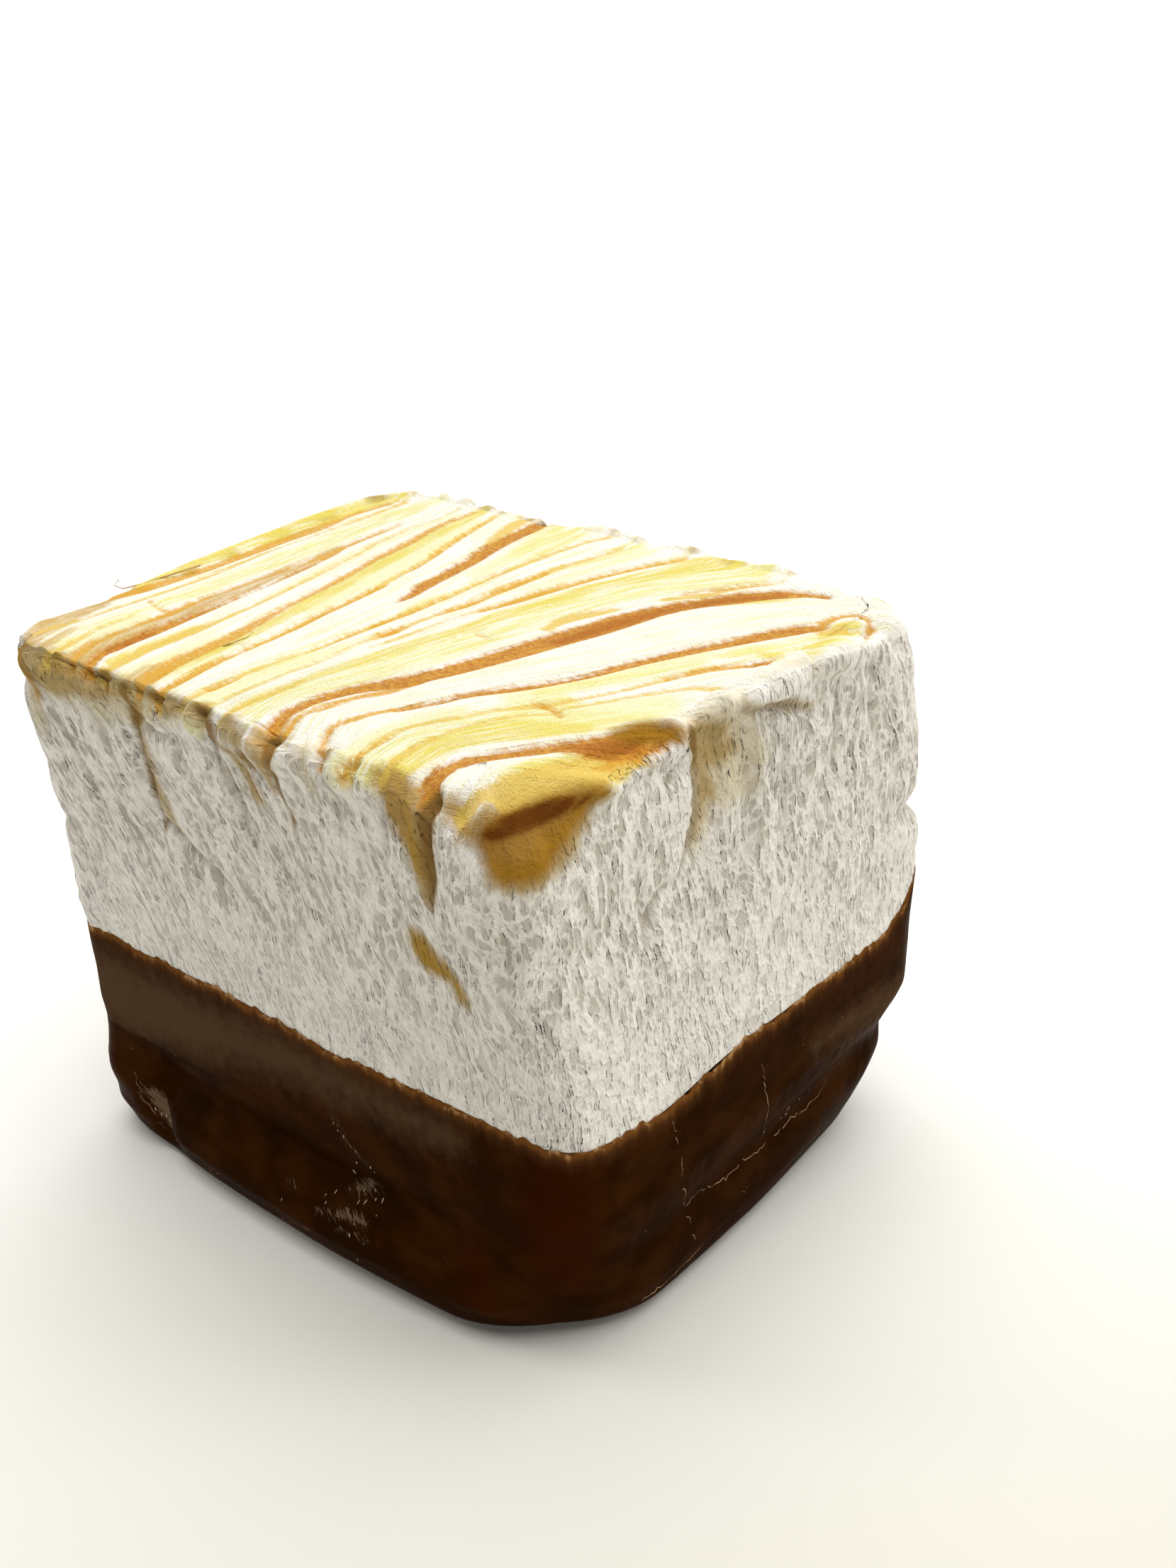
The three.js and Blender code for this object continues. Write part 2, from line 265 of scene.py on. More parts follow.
# %% Outlines of the chocolate
SHELL_OUTLINES = [
    outline(
        0,
        [(-18.5, -14.3), (18.5, -13.9), (16.5, 14.1), (-17.6, 14.8)],
        radii=[3.6, 8, 4.6, 4],
        bows=[1.3, 1, 0.2, 0.3],
    ),
    outline(
        2.2,
        [(-19.4, -14.8), (19.1, -14.4), (17.5, 14.5), (-18.3, 15.2)],
        radii=[3.2, 7.2, 4.4, 3.8],
        bows=[1.1, 0.8, 0.2, 0.3],
    ),
    outline(
        5.2,
        [(-19, -14.5), (19.4, -14.3), (18.8, 14.9), (-18.5, 15.2)],
        radii=[2.8, 5, 3.8, 3.2],
        bows=[0, 0.2, 0.2, 0.2],
    ),
    outline(
        8.5,
        [(-19.1, -14.6), (19.9, -14.2), (19.9, 15.4), (-18.8, 15.5)],
        radii=[2.6, 3.6, 2.8, 3],
        bows=[0, 0.3, 0.3, 0.2],
    ),
    AT_RIM,
]
print("outlines of the chocolate at", [shape["z"] for shape in SHELL_OUTLINES], "mm up")

# %% Points between the outlines
BOW_FALL = 4


def between_corners(values, u, v):
    """Blends four corner values over the square from -1 to 1."""
    front = values[0] + (values[1] - values[0]) * (u + 1) / 2
    back = values[3] + (values[2] - values[3]) * (u + 1) / 2
    return front + (back - front) * (v + 1) / 2


def outline_points(shape, u, v):
    """Points of an outline in plan, where (u, v) runs round the edge of the square."""
    xs, ys = shape["xs"], shape["ys"]
    half_x = (xs[1] + xs[2] - xs[0] - xs[3]) / 4
    half_y = (ys[2] + ys[3] - ys[0] - ys[1]) / 4
    radius = between_corners(shape["radii"], u, v)
    centre_x = np.clip(u * half_x, radius - half_x, half_x - radius)
    centre_y = np.clip(v * half_y, radius - half_y, half_y - radius)
    arm_x = u * half_x - centre_x
    arm_y = v * half_y - centre_y
    reach = np.hypot(arm_x, arm_y)
    round_u = (centre_x + arm_x / reach * radius) / half_x
    round_v = (centre_y + arm_y / reach * radius) / half_y
    front, right, back, left = shape["bows"]
    bow_x = np.where(round_u > 0, right, -left) * (1 - round_v**2) * round_u**BOW_FALL
    bow_y = np.where(round_v > 0, back, -front) * (1 - round_u**2) * round_v**BOW_FALL
    x = between_corners(xs, round_u, round_v) + bow_x
    y = between_corners(ys, round_u, round_v) + bow_y
    return np.stack([x, y], -1)


def side_points(outlines, u, v, z):
    """Points of a body's side. z is one height, or one for each place round the side."""
    heights = np.broadcast_to(z, np.shape(u))
    points = outline_points(outlines[0], u, v)
    for low, high in itertools.pairwise(outlines):
        share = np.clip((heights - low["z"]) / (high["z"] - low["z"]), 0, 1)[..., None]
        step = outline_points(high, u, v) - outline_points(low, u, v)
        points = points + share * step
    return points


def middle_of(shape):
    """The middle of an outline's four corners."""
    return np.array([shape["xs"].mean(), shape["ys"].mean()])


def stand_off(points, middle, distance):
    """Moves points in plan away from a middle, or towards it where the distance is negative."""
    arm = points - middle
    length = np.linalg.norm(arm, axis=-1, keepdims=True)
    return middle + arm * np.maximum(0, length + np.asarray(distance)[..., None]) / length


BLOCK_MIDDLE = middle_of(AT_TOP)
SHELL_MIDDLE = middle_of(SHELL_OUTLINES[0])
print("middle of the top:", BLOCK_MIDDLE.round(2), "and of the chocolate's foot:", SHELL_MIDDLE.round(2))

# %% [markdown]
# ## Forms that depend on the place
# The dip line dips on the front and on the right and is smeared up at the back right corner. The top edge
# is fairly sharp, but widely rounded at the front right corner, and the top sags a little at the back
# right and over the front. We could move these points by hand, but each is a small function of the place
# in plan, and bell curves and smooth steps fade every one out, so nothing ends in a jump.

# %% Dip line, top edge and sag
FRONT_SIDE = (12, 14)
RIGHT_SIDE = (16, 18.5)
RIM_RISE_FRONT = 0.3
RIM_DIP_FRONT = {"x": 4.2, "width": 5, "depth": 0.5}
RIM_DIP_RIGHT = {"y": -7.5, "width": 4, "depth": 0.8}
RIM_SMEAR = {"width": 2.4, "height": 2.6}
EDGE_ROUND = {"plain": 0.9, "front_right": 4, "back_right": 1.6, "spread": 7}
TOP_SAG = {"back_right": 0.25, "front": 0.35, "spread": 9, "front_x": 4.5, "front_width": 4}


def bell(distance, width):
    """A bump that is 1 at no distance and has faded to a third at its width."""
    return np.exp(-((distance / width) ** 2))


def smooth(value, start, end):
    """Rises smoothly from 0 at start to 1 at end."""
    share = np.clip((value - start) / (end - start), 0, 1)
    return share * share * (3 - 2 * share)


def near_corner(points, shape, corner, width):
    """A bell round one corner of an outline."""
    return bell(np.hypot(points[..., 0] - shape["xs"][corner], points[..., 1] - shape["ys"][corner]), width)


def rim_height(points):
    """Height of the dip line."""
    x, y = points[..., 0], points[..., 1]
    front = RIM_RISE_FRONT - RIM_DIP_FRONT["depth"] * bell(x - RIM_DIP_FRONT["x"], RIM_DIP_FRONT["width"])
    right = -RIM_DIP_RIGHT["depth"] * bell(y - RIM_DIP_RIGHT["y"], RIM_DIP_RIGHT["width"])
    smear = RIM_SMEAR["height"] * near_corner(points, AT_RIM, BACK_RIGHT, RIM_SMEAR["width"])
    return RIM + front * smooth(-y, *FRONT_SIDE) + right * smooth(x, *RIGHT_SIDE) + smear


def edge_round(points):
    """Radius of the top edge."""
    front_right = EDGE_ROUND["front_right"] * near_corner(points, AT_TOP, FRONT_RIGHT, EDGE_ROUND["spread"])
    back_right = EDGE_ROUND["back_right"] * near_corner(points, AT_TOP, BACK_RIGHT, EDGE_ROUND["spread"])
    return EDGE_ROUND["plain"] + front_right + back_right


def top_sag(points):
    """How far the top hangs below its full height."""
    back_right = TOP_SAG["back_right"] * near_corner(points, AT_TOP, BACK_RIGHT, TOP_SAG["spread"])
    front = TOP_SAG["front"] * bell(points[..., 0] - TOP_SAG["front_x"], TOP_SAG["front_width"])
    return back_right + front * smooth(-points[..., 1], *FRONT_SIDE)


# %% [markdown]
# ## Noise to shape with
# Foam, torn edges and set chocolate are uneven in a way that no formula of sines gives. Blender has noise
# textures, but they only reach the surface as a bump, and here the unevenness has to be real. So we
# write the classic lattice noise once, for whole arrays of points, with a seed for each use.

# %% Lattice noise
NOISE_TABLE = 256
NOISE_GAIN = 1.6


def noise(points, size, seed):
    """Smooth noise from about -1 to 1. size is how long its bumps are, one number or one for each axis."""
    draw = np.random.default_rng(seed)
    shuffle = draw.permutation(NOISE_TABLE)
    slopes = draw.normal(size=(NOISE_TABLE, 3))
    slopes /= np.linalg.norm(slopes, axis=1, keepdims=True)
    cells = np.asarray(points, float) / np.asarray(size, float)
    base = np.floor(cells).astype(int)
    part = cells - base
    fade = part**3 * (part * (part * 6 - 15) + 10)
    total = np.zeros(len(cells))
    for corner in itertools.product((0, 1), repeat=3):
        x, y, z = (base + corner).T % NOISE_TABLE
        pick = shuffle[(shuffle[(shuffle[x] + y) % NOISE_TABLE] + z) % NOISE_TABLE]
        weight = np.prod(np.where(corner, fade, 1 - fade), axis=1)
        total += weight * (slopes[pick] * (part - corner)).sum(1)
    return NOISE_GAIN * total


print("noise at five places in a row:", noise([(place, 0.5, 0.5) for place in range(5)], 1.7, 0).round(2))

# %% [markdown]
# ## A closed skin
# Both bodies are made the same way: rings of points, one above the other, all with the same number of
# columns, so that neighbouring rings join in a plain net. A box primitive with subdivisions would also
# give a net, but its rows would not follow the dip line or the top edge. The top of the block needs more
# than rings, because rings crowd together in the middle. There a square net is stretched between the four
# sides of the last ring, which keeps every cell about a fifth of a millimetre wide.

# %% Rings and nets
CELLS_ALONG = 184
CELLS_ACROSS = 144
COLUMNS = 2 * (CELLS_ALONG + CELLS_ACROSS)
CORNER_CROWDING = 1.12


def spread(count):
    """Places from -1 to 1, a little closer together towards both ends."""
    even = np.linspace(-1, 1, count + 1)
    return np.sign(even) * (1 - (1 - np.abs(even)) ** CORNER_CROWDING)


ALONG, ACROSS = spread(CELLS_ALONG), spread(CELLS_ACROSS)
AROUND_U = np.concatenate([ALONG[:-1], np.ones(CELLS_ACROSS), -ALONG[:-1], -np.ones(CELLS_ACROSS)])
AROUND_V = np.concatenate([-np.ones(CELLS_ALONG), ACROSS[:-1], np.ones(CELLS_ALONG), -ACROSS[:-1]])


def in_space(plan, z):
    """Points in plan and heights, as points in space."""
    return np.concatenate([plan, np.broadcast_to(z, plan.shape[:-1])[..., None]], -1)


def net_between(low, high):
    """Quads between two rings, given the first point number of each."""
    column = np.arange(COLUMNS)
    following = (column + 1) % COLUMNS
    return np.stack([low + column, low + following, high + following, high + column], 1)


print("every ring has", COLUMNS, "points")

# %% The top patch


def patch_numbers(ring_start, inner_start):
    """Point numbers of a square patch: its border is a ring and its inside is its own."""
    numbers = np.zeros((CELLS_ALONG + 1, CELLS_ACROSS + 1), int)
    along, across = np.arange(CELLS_ALONG + 1), np.arange(CELLS_ACROSS + 1)
    numbers[along, 0] = ring_start + along
    numbers[-1, across] = ring_start + CELLS_ALONG + across
    numbers[along, -1] = ring_start + 2 * CELLS_ALONG + CELLS_ACROSS - along
    numbers[0, across] = ring_start + (COLUMNS - across) % COLUMNS
    inside = np.arange((CELLS_ALONG - 1) * (CELLS_ACROSS - 1)).reshape(CELLS_ALONG - 1, -1)
    numbers[1:-1, 1:-1] = inner_start + inside
    return numbers


def patch_points(ring):
    """The inside points of a square patch stretched between the four sides of a ring."""
    numbers = patch_numbers(0, 0)
    front, back = ring[numbers[:, 0]], ring[numbers[:, -1]]
    left, right = ring[numbers[0]], ring[numbers[-1]]
    s = ((ALONG + 1) / 2)[:, None, None]
    t = ((ACROSS + 1) / 2)[None, :, None]
    between = (1 - t) * front[:, None] + t * back[:, None] + (1 - s) * left[None] + s * right[None]
    corners = (1 - t) * ((1 - s) * front[0] + s * front[-1]) + t * ((1 - s) * back[0] + s * back[-1])
    return (between - corners)[1:-1, 1:-1].reshape(-1, 2)


# %% A piece from points and quads
TINY = 1e-9


def point_normals(points, quads):
    """Average facing of the quads round each point."""
    a, b, c, d = (points[quads[:, k]] for k in range(4))
    facing = np.cross(c - a, d - b)
    normals = np.zeros_like(points)
    for k in range(4):
        np.add.at(normals, quads[:, k], facing)
    return normals / np.maximum(np.linalg.norm(normals, axis=1, keepdims=True), TINY)


def closed_piece(name, points, quads, fans):
    """A smooth mesh object from points in mm, quads, and fans of triangles round single points."""
    triangles = [(tip, second, first) for tip, ring in fans for first, second in zip(ring, np.roll(ring, -1))]
    mesh = bpy.data.meshes.new(name)
    mesh.from_pydata((points * MM).tolist(), [], quads.tolist() + [tuple(map(int, t)) for t in triangles])
    mesh.polygons.foreach_set("use_smooth", [True] * len(mesh.polygons))
    mesh.update()
    piece = bpy.data.objects.new(name, mesh)
    bpy.context.scene.collection.objects.link(piece)
    print(name, "has", len(points), "points and", len(quads) * 2 + len(triangles), "triangles")
    return piece


# %% [markdown]
# ## Where the frame stands
# The outlines above are drawn round an origin of their own, and the frame has the sweet centred on its box.
# We don't guess the shift: we draw the block's widest rings once and see where their middle falls.

# %% Shift from the drawing to the frame
WIDEST_HEIGHTS = (RIM, WAIST, TOP - 0.5)
widest = np.concatenate([side_points(BLOCK_OUTLINES, AROUND_U, AROUND_V, z) for z in WIDEST_HEIGHTS])
block_low, block_high = (np.array(corner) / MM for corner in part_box("marshmallow"))
SHIFT = (block_low + block_high)[:2] / 2 - (widest.min(0) + widest.max(0)) / 2
print("drawing is shifted by", SHIFT.round(3), "mm")

# %% [markdown]
# ## The marshmallow's smooth form
# We lay rings up the bare side, over the rounded top edge, and then the patch across the top. The part
# inside the chocolate can't be seen, so a few wide rows close the skin down there.

# %% Rings of the marshmallow
BARE_ROWS = 84
EDGE_ROWS = 12
DIPPED_HEIGHTS = (4.1, 8, 11.5)
DIPPED_INSET = 0.4
BLOCK_FLOOR = SOLE + SEAT
FLOOR_INSET = 1.6


def block_side(z):
    """A ring of the block's side in plan."""
    return side_points(BLOCK_OUTLINES, AROUND_U, AROUND_V, z)


def drawn_in(plan, inset, z):
    """A ring in plan, drawn in towards the block's middle and set at a height."""
    return in_space(stand_off(plan, BLOCK_MIDDLE, -inset), z)


def edge_ring(share):
    """A ring on the rounded top edge, a share of a quarter turn over it."""
    crown = block_side(TOP)
    radius = edge_round(crown)
    angle = share * math.pi / 2
    z = TOP - radius * (1 - math.sin(angle))
    return drawn_in(block_side(z), radius * (1 - math.cos(angle)), z - top_sag(crown))


block_rim = rim_height(block_side(RIM))
block_shoulder = TOP - edge_round(block_side(TOP))
block_rings = [drawn_in(block_side(BLOCK_FLOOR), FLOOR_INSET, BLOCK_FLOOR)]
block_rings += [drawn_in(block_side(z), DIPPED_INSET, z) for z in DIPPED_HEIGHTS]
for share in np.linspace(0, 1, BARE_ROWS + 1):
    z_plain = RIM + (block_shoulder - RIM) * share
    z_true = block_rim + (block_shoulder - block_rim) * share
    plan = block_side(z_plain)
    block_rings.append(in_space(plan, z_true - top_sag(plan) * share**2))
block_rings += [edge_ring(share) for share in np.linspace(0, 1, EDGE_ROWS + 1)[1:]]
top_plan = patch_points(block_rings[-1][:, :2])
top_inside = in_space(top_plan, TOP - top_sag(top_plan))
print("dip line from", block_rim.min().round(1), "to", block_rim.max().round(1), "mm up")

# %% Net of the marshmallow


def nets_between(rings):
    """The quads of a whole stack of rings."""
    return [net_between(k * COLUMNS, (k + 1) * COLUMNS) for k in range(len(rings) - 1)]


last_ring = (len(block_rings) - 1) * COLUMNS
patch = patch_numbers(last_ring, last_ring + COLUMNS)
patch_quads = np.stack([patch[:-1, :-1], patch[1:, :-1], patch[1:, 1:], patch[:-1, 1:]], -1).reshape(-1, 4)
block_quads = np.concatenate(nets_between(block_rings) + [patch_quads])
block_smooth = np.concatenate(block_rings + [top_inside, [[*BLOCK_MIDDLE, BLOCK_FLOOR]]])
block_fans = [(len(block_smooth) - 1, np.arange(COLUMNS))]
print("marshmallow has", len(block_rings), "rings and", len(top_inside), "points inside its top patch")

# %% [markdown]
# ## Drawing on the skin
# Caramel ribbons, drips, creases and scuffs all lie on the skin, so one way of drawing serves them all. A
# stroke is a handful of points with a size at each. It is bent into a smooth curve, dropped on the nearest
# spot of the skin, and then every point of the skin is told how deep inside the stroke's edge it lies.
# Painting an image would tie the sweet to one picture, while these numbers stay on the mesh itself.

# %% A skin to draw on
STROKE_STEP = 0.4
STROKE_REACH = 2.4


class Skin:
    """A smooth body's points, and the means to drop strokes on them."""

    def __init__(self, points, quads):
        self.points = points
        self.tree = BVHTree.FromPolygons([tuple(p) for p in points], quads.tolist())

    def flowing(self, stroke):
        """Samples of the smooth curve through a stroke's points, dropped on the skin, with their sizes."""
        points = np.array(stroke, float)
        points[:, :2] -= SHIFT
        padded = np.concatenate([2 * points[:1] - points[1:2], points, 2 * points[-1:] - points[-2:-1]])
        samples = []
        for before, start, end, after in zip(padded, padded[1:], padded[2:], padded[3:]):
            count = max(2, math.ceil(np.linalg.norm(end[:3] - start[:3]) / STROKE_STEP))
            for t in np.linspace(0, 1, count, endpoint=False):
                bend = (end - before) * t + (2 * before - 5 * start + 4 * end - after) * t**2
                samples.append(start + (bend + (3 * start - before - 3 * end + after) * t**3) / 2)
        samples.append(points[-1])
        return np.array([(*self.tree.find_nearest(Vector(sample[:3]))[0], sample[3]) for sample in samples])

    def draw(self, strokes, outward=(0, 0, 1)):
        """How deep each point lies inside the strokes, the size of the nearest, and its side of it."""
        inside = np.full(len(self.points), -STROKE_REACH)
        size = np.zeros(len(self.points))
        side = np.zeros(len(self.points))
        for samples in map(self.flowing, strokes):
            low, high = samples[:, :3].min(0) - STROKE_REACH, samples[:, :3].max(0) + STROKE_REACH
            near = np.flatnonzero(((self.points > low) & (self.points < high)).all(1))
            spots = self.points[near]
            for start, end in zip(samples, samples[1:]):
                leg = end[:3] - start[:3]
                arm = spots - start[:3]
                share = np.clip(arm @ leg / max(leg @ leg, TINY), 0, 1)
                width = start[3] + (end[3] - start[3]) * share
                depth = np.abs(width) / 2 - np.linalg.norm(arm - share[:, None] * leg, axis=1)
                better = depth > inside[near]
                inside[near[better]] = depth[better]
                size[near[better]] = width[better]
                side[near[better]] = arm[better] @ np.cross(outward, leg / max(np.linalg.norm(leg), TINY))
        return inside, size, side


block_skin = Skin(block_smooth, block_quads)
block_normals = point_normals(block_smooth, block_quads)
print("the block's skin has", len(block_smooth), "points to draw on")

# %% Strokes on the top and on each side
FRONT_Y, BACK_Y = -14.4, 15.3
RIGHT_X, LEFT_X = 19.6, -19.4


def on_top(stroke):
    """A stroke of (x, y, width), and the four below of (place, height, width), in space."""
    return [(x, y, TOP, width) for x, y, width in stroke]


def on_front(stroke):
    return [(x, FRONT_Y, z, width) for x, z, width in stroke]


def on_back(stroke):
    return [(x, BACK_Y, z, width) for x, z, width in stroke]


def on_right(stroke):
    return [(RIGHT_X, y, z, width) for y, z, width in stroke]


def on_left(stroke):
    return [(LEFT_X, y, z, width) for y, z, width in stroke]


# %% [markdown]
# ## The caramel ribbons
# The swirl is caramel folded through the foam, and the knife shows it on top as a fan of ribbons. We list
# them by tone, from the darkest and thickest caramel to the palest trace of it. Each is given across the
# top as (x, y, width). We could scatter stripes by noise, but a fan has an order: the ribbons spread
# towards the back and curl over the front edge, and that is what the eye knows.

# %% Ribbons of the top: brown
BROWN_RIBBONS = [
    [(14.9, 13.6, 0.3), (13.6, 13.3, 0.8), (12.3, 12.4, 1.2), (11, 11, 1.35), (9.6, 9, 1.1)]
    + [(8.7, 7.3, 1.35), (8, 5.5, 1.9), (7.4, 3.4, 2), (6.7, 1.2, 1.8), (6, -1, 1.7)]
    + [(5.3, -3.3, 1.5), (4.5, -5.4, 1.2), (3.4, -7.2, 1.15), (2.5, -8.8, 1), (2, -10.4, 0.9)]
    + [(1.9, -11.8, 0.8), (2.3, -13.2, 0.7), (2.9, -14.1, 0.6)],
    [(16.9, 10, 0.9), (16.2, 8.9, 1.15), (15.5, 7.7, 1.1), (14.2, 5, 0.75)]
    + [(13.3, 3.6, 0.85), (12.2, 1.2, 0.7), (10.9, -1.6, 0.7), (9.5, -4, 0.8)]
    + [(8.1, -5.9, 0.7), (7.5, -7.3, 0.4), (6.4, -9, 0.25)],
    [(-7, 14.9, 1.2), (-6.9, 13, 1.4), (-6.6, 11, 1.25), (-6.2, 9, 1.2), (-5.8, 7.5, 1.1)]
    + [(-5.5, 5.4, 1), (-5.2, 3.5, 0.9), (-4.8, 1.9, 0.7), (-4.65, 0.9, 0.15)],
    [(-13.9, 4.6, 0.15), (-13.6, 1.7, 0.25), (-13.3, -0.7, 0.25), (-13.3, -3, 0.3), (-13.2, -5, 0.45)]
    + [(-13.2, -7, 0.6), (-13.2, -9, 0.9), (-13.1, -11.4, 0.9), (-12.8, -12.8, 0.7), (-12, -14, 0.6)],
    [(18.7, -4, 1.4), (18, -5.3, 1.8), (17.1, -6.5, 1.4), (16, -7.7, 1), (14.7, -9.2, 0.95)]
    + [(13.5, -10.7, 0.9), (13, -12, 0.9), (13, -13.4, 1), (13.5, -14.5, 0.9)],
    [(17.8, 4.9, 0.7), (17.2, 4.1, 0.5)],
    [(-20, -7.6, 0.25), (-20.2, -9, 0.6), (-20.1, -10.2, 0.3)],
]
print(len(BROWN_RIBBONS), "brown ribbons")

# %% Ribbons of the top: amber
AMBER_RIBBONS = [
    [(-18.2, 13.2, 0.3), (-18.6, 10, 0.5), (-18.6, 7.7, 0.9), (-18.8, 5, 1.1)]
    + [(-18.8, 1.7, 0.95), (-18.8, 0, 0.8), (-18.9, -1.9, 1), (-19.3, -5, 1.1)]
    + [(-19.6, -6.9, 0.9), (-20.1, -8.8, 0.9), (-20.1, -11, 0.5)],
    [(-14.6, 10.2, 0.3), (-14.5, 7, 0.4), (-14.2, 4, 0.3), (-14.4, -1.5, 0.25), (-14.6, -4, 0.3)]
    + [(-14.5, -7, 0.7), (-14.6, -9.5, 0.4), (-14.4, -12, 0.6), (-13.6, -13.8, 0.6)],
    [(-12.2, 14.2, 0.3), (-12.1, 11.8, 0.45), (-11.8, 10, 0.6), (-11.3, 7.7, 0.7)]
    + [(-11, 5, 0.6), (-10.5, 2.6, 0.65), (-10, 0, 0.6), (-9.6, -2.6, 0.65), (-9.1, -5, 0.85)]
    + [(-8.7, -7, 1), (-8.5, -9, 1.15), (-8.3, -11.4, 1.2), (-7.6, -13.4, 1)],
    [(-10.3, 13.6, 0.2), (-9.6, 11.2, 0.3), (-8.6, 7.7, 0.25), (-8, 5, 0.2)],
    [(-7.4, 2.4, 0.2), (-7.1, -0.7, 0.5), (-7, -2.6, 0.25), (-6.7, -5, 0.25)]
    + [(-6.6, -8, 0.3), (-6.4, -10.6, 0.5), (-6, -12.6, 0.5)],
    [(4.8, 14, 0.3), (3.5, 11.7, 0.3), (2.4, 9.3, 0.5), (1.7, 7, 0.5), (1, 4.6, 0.5), (0.4, 2.4, 0.3)],
    [(-0.6, 8.6, 0.2), (-0.8, 6.5, 0.45), (-0.9, 4.4, 0.4), (-0.85, 2.4, 0.5), (-1.3, 0.6, 0.1)],
    [(-1.5, -1.6, 0.4), (-1.6, -2.5, 0.6), (-1.8, -3.2, 0.1)],
    [(-2.9, 7.4, 0.4), (-2.8, 5, 0.2), (-2.8, 0.6, 0.3), (-3.2, -2.6, 0.4)]
    + [(-3.25, -4.4, 0.3), (-3.4, -6.6, 0.15)],
    [(-3.7, -11, 0.3), (-3.7, -12.4, 0.4)],
    [(19.7, 11, 0.3), (18.9, 12.1, 0.45), (17.7, 12.4, 0.5), (16.9, 11.8, 0.5), (16.8, 10.6, 0.8)],
    [(17.2, 4, 0.6), (16, 2.7, 0.5), (15.4, 1.7, 0.45), (14.8, 0.6, 0.3)],
    [(19, -5.2, 1), (18.7, -6.4, 0.8), (18.3, -7.6, 0.3)],
    [(4.6, -6.2, 0.6), (4.2, -7.7, 0.75), (3.5, -9.2, 0.5), (3.1, -10.6, 0.45)]
    + [(2.9, -12.2, 0.45), (3.4, -13.7, 0.5)],
    [(7.6, -7.2, 0.5), (6.8, -8.4, 0.4), (5.8, -9.9, 0.35), (5.4, -11, 0.45)]
    + [(5.3, -12.2, 0.45), (5.8, -13.3, 0.45), (6.6, -14.2, 0.45)],
    [(9.2, 10.8, 0.12), (10.2, 12.2, 0.15), (11.6, 13.8, 0.15)],
    [(8.2, 9.6, 0.1), (9.4, 11.4, 0.12), (11.4, 13.5, 0.12)],
    [(11.3, -5, 0.2), (12.3, -5, 0.35), (13.6, -5.5, 0.3)],
    [(-17.3, -6.5, 0.12), (-15.6, -6.9, 0.25), (-14.3, -7.2, 0.5)],
    [(8.5, -11.5, 0.2), (8.5, -12.8, 0.3)],
    [(2.9, -0.2, 0.3), (3.9, -0.5, 0.15)],
]
print(len(AMBER_RIBBONS), "amber ribbons")

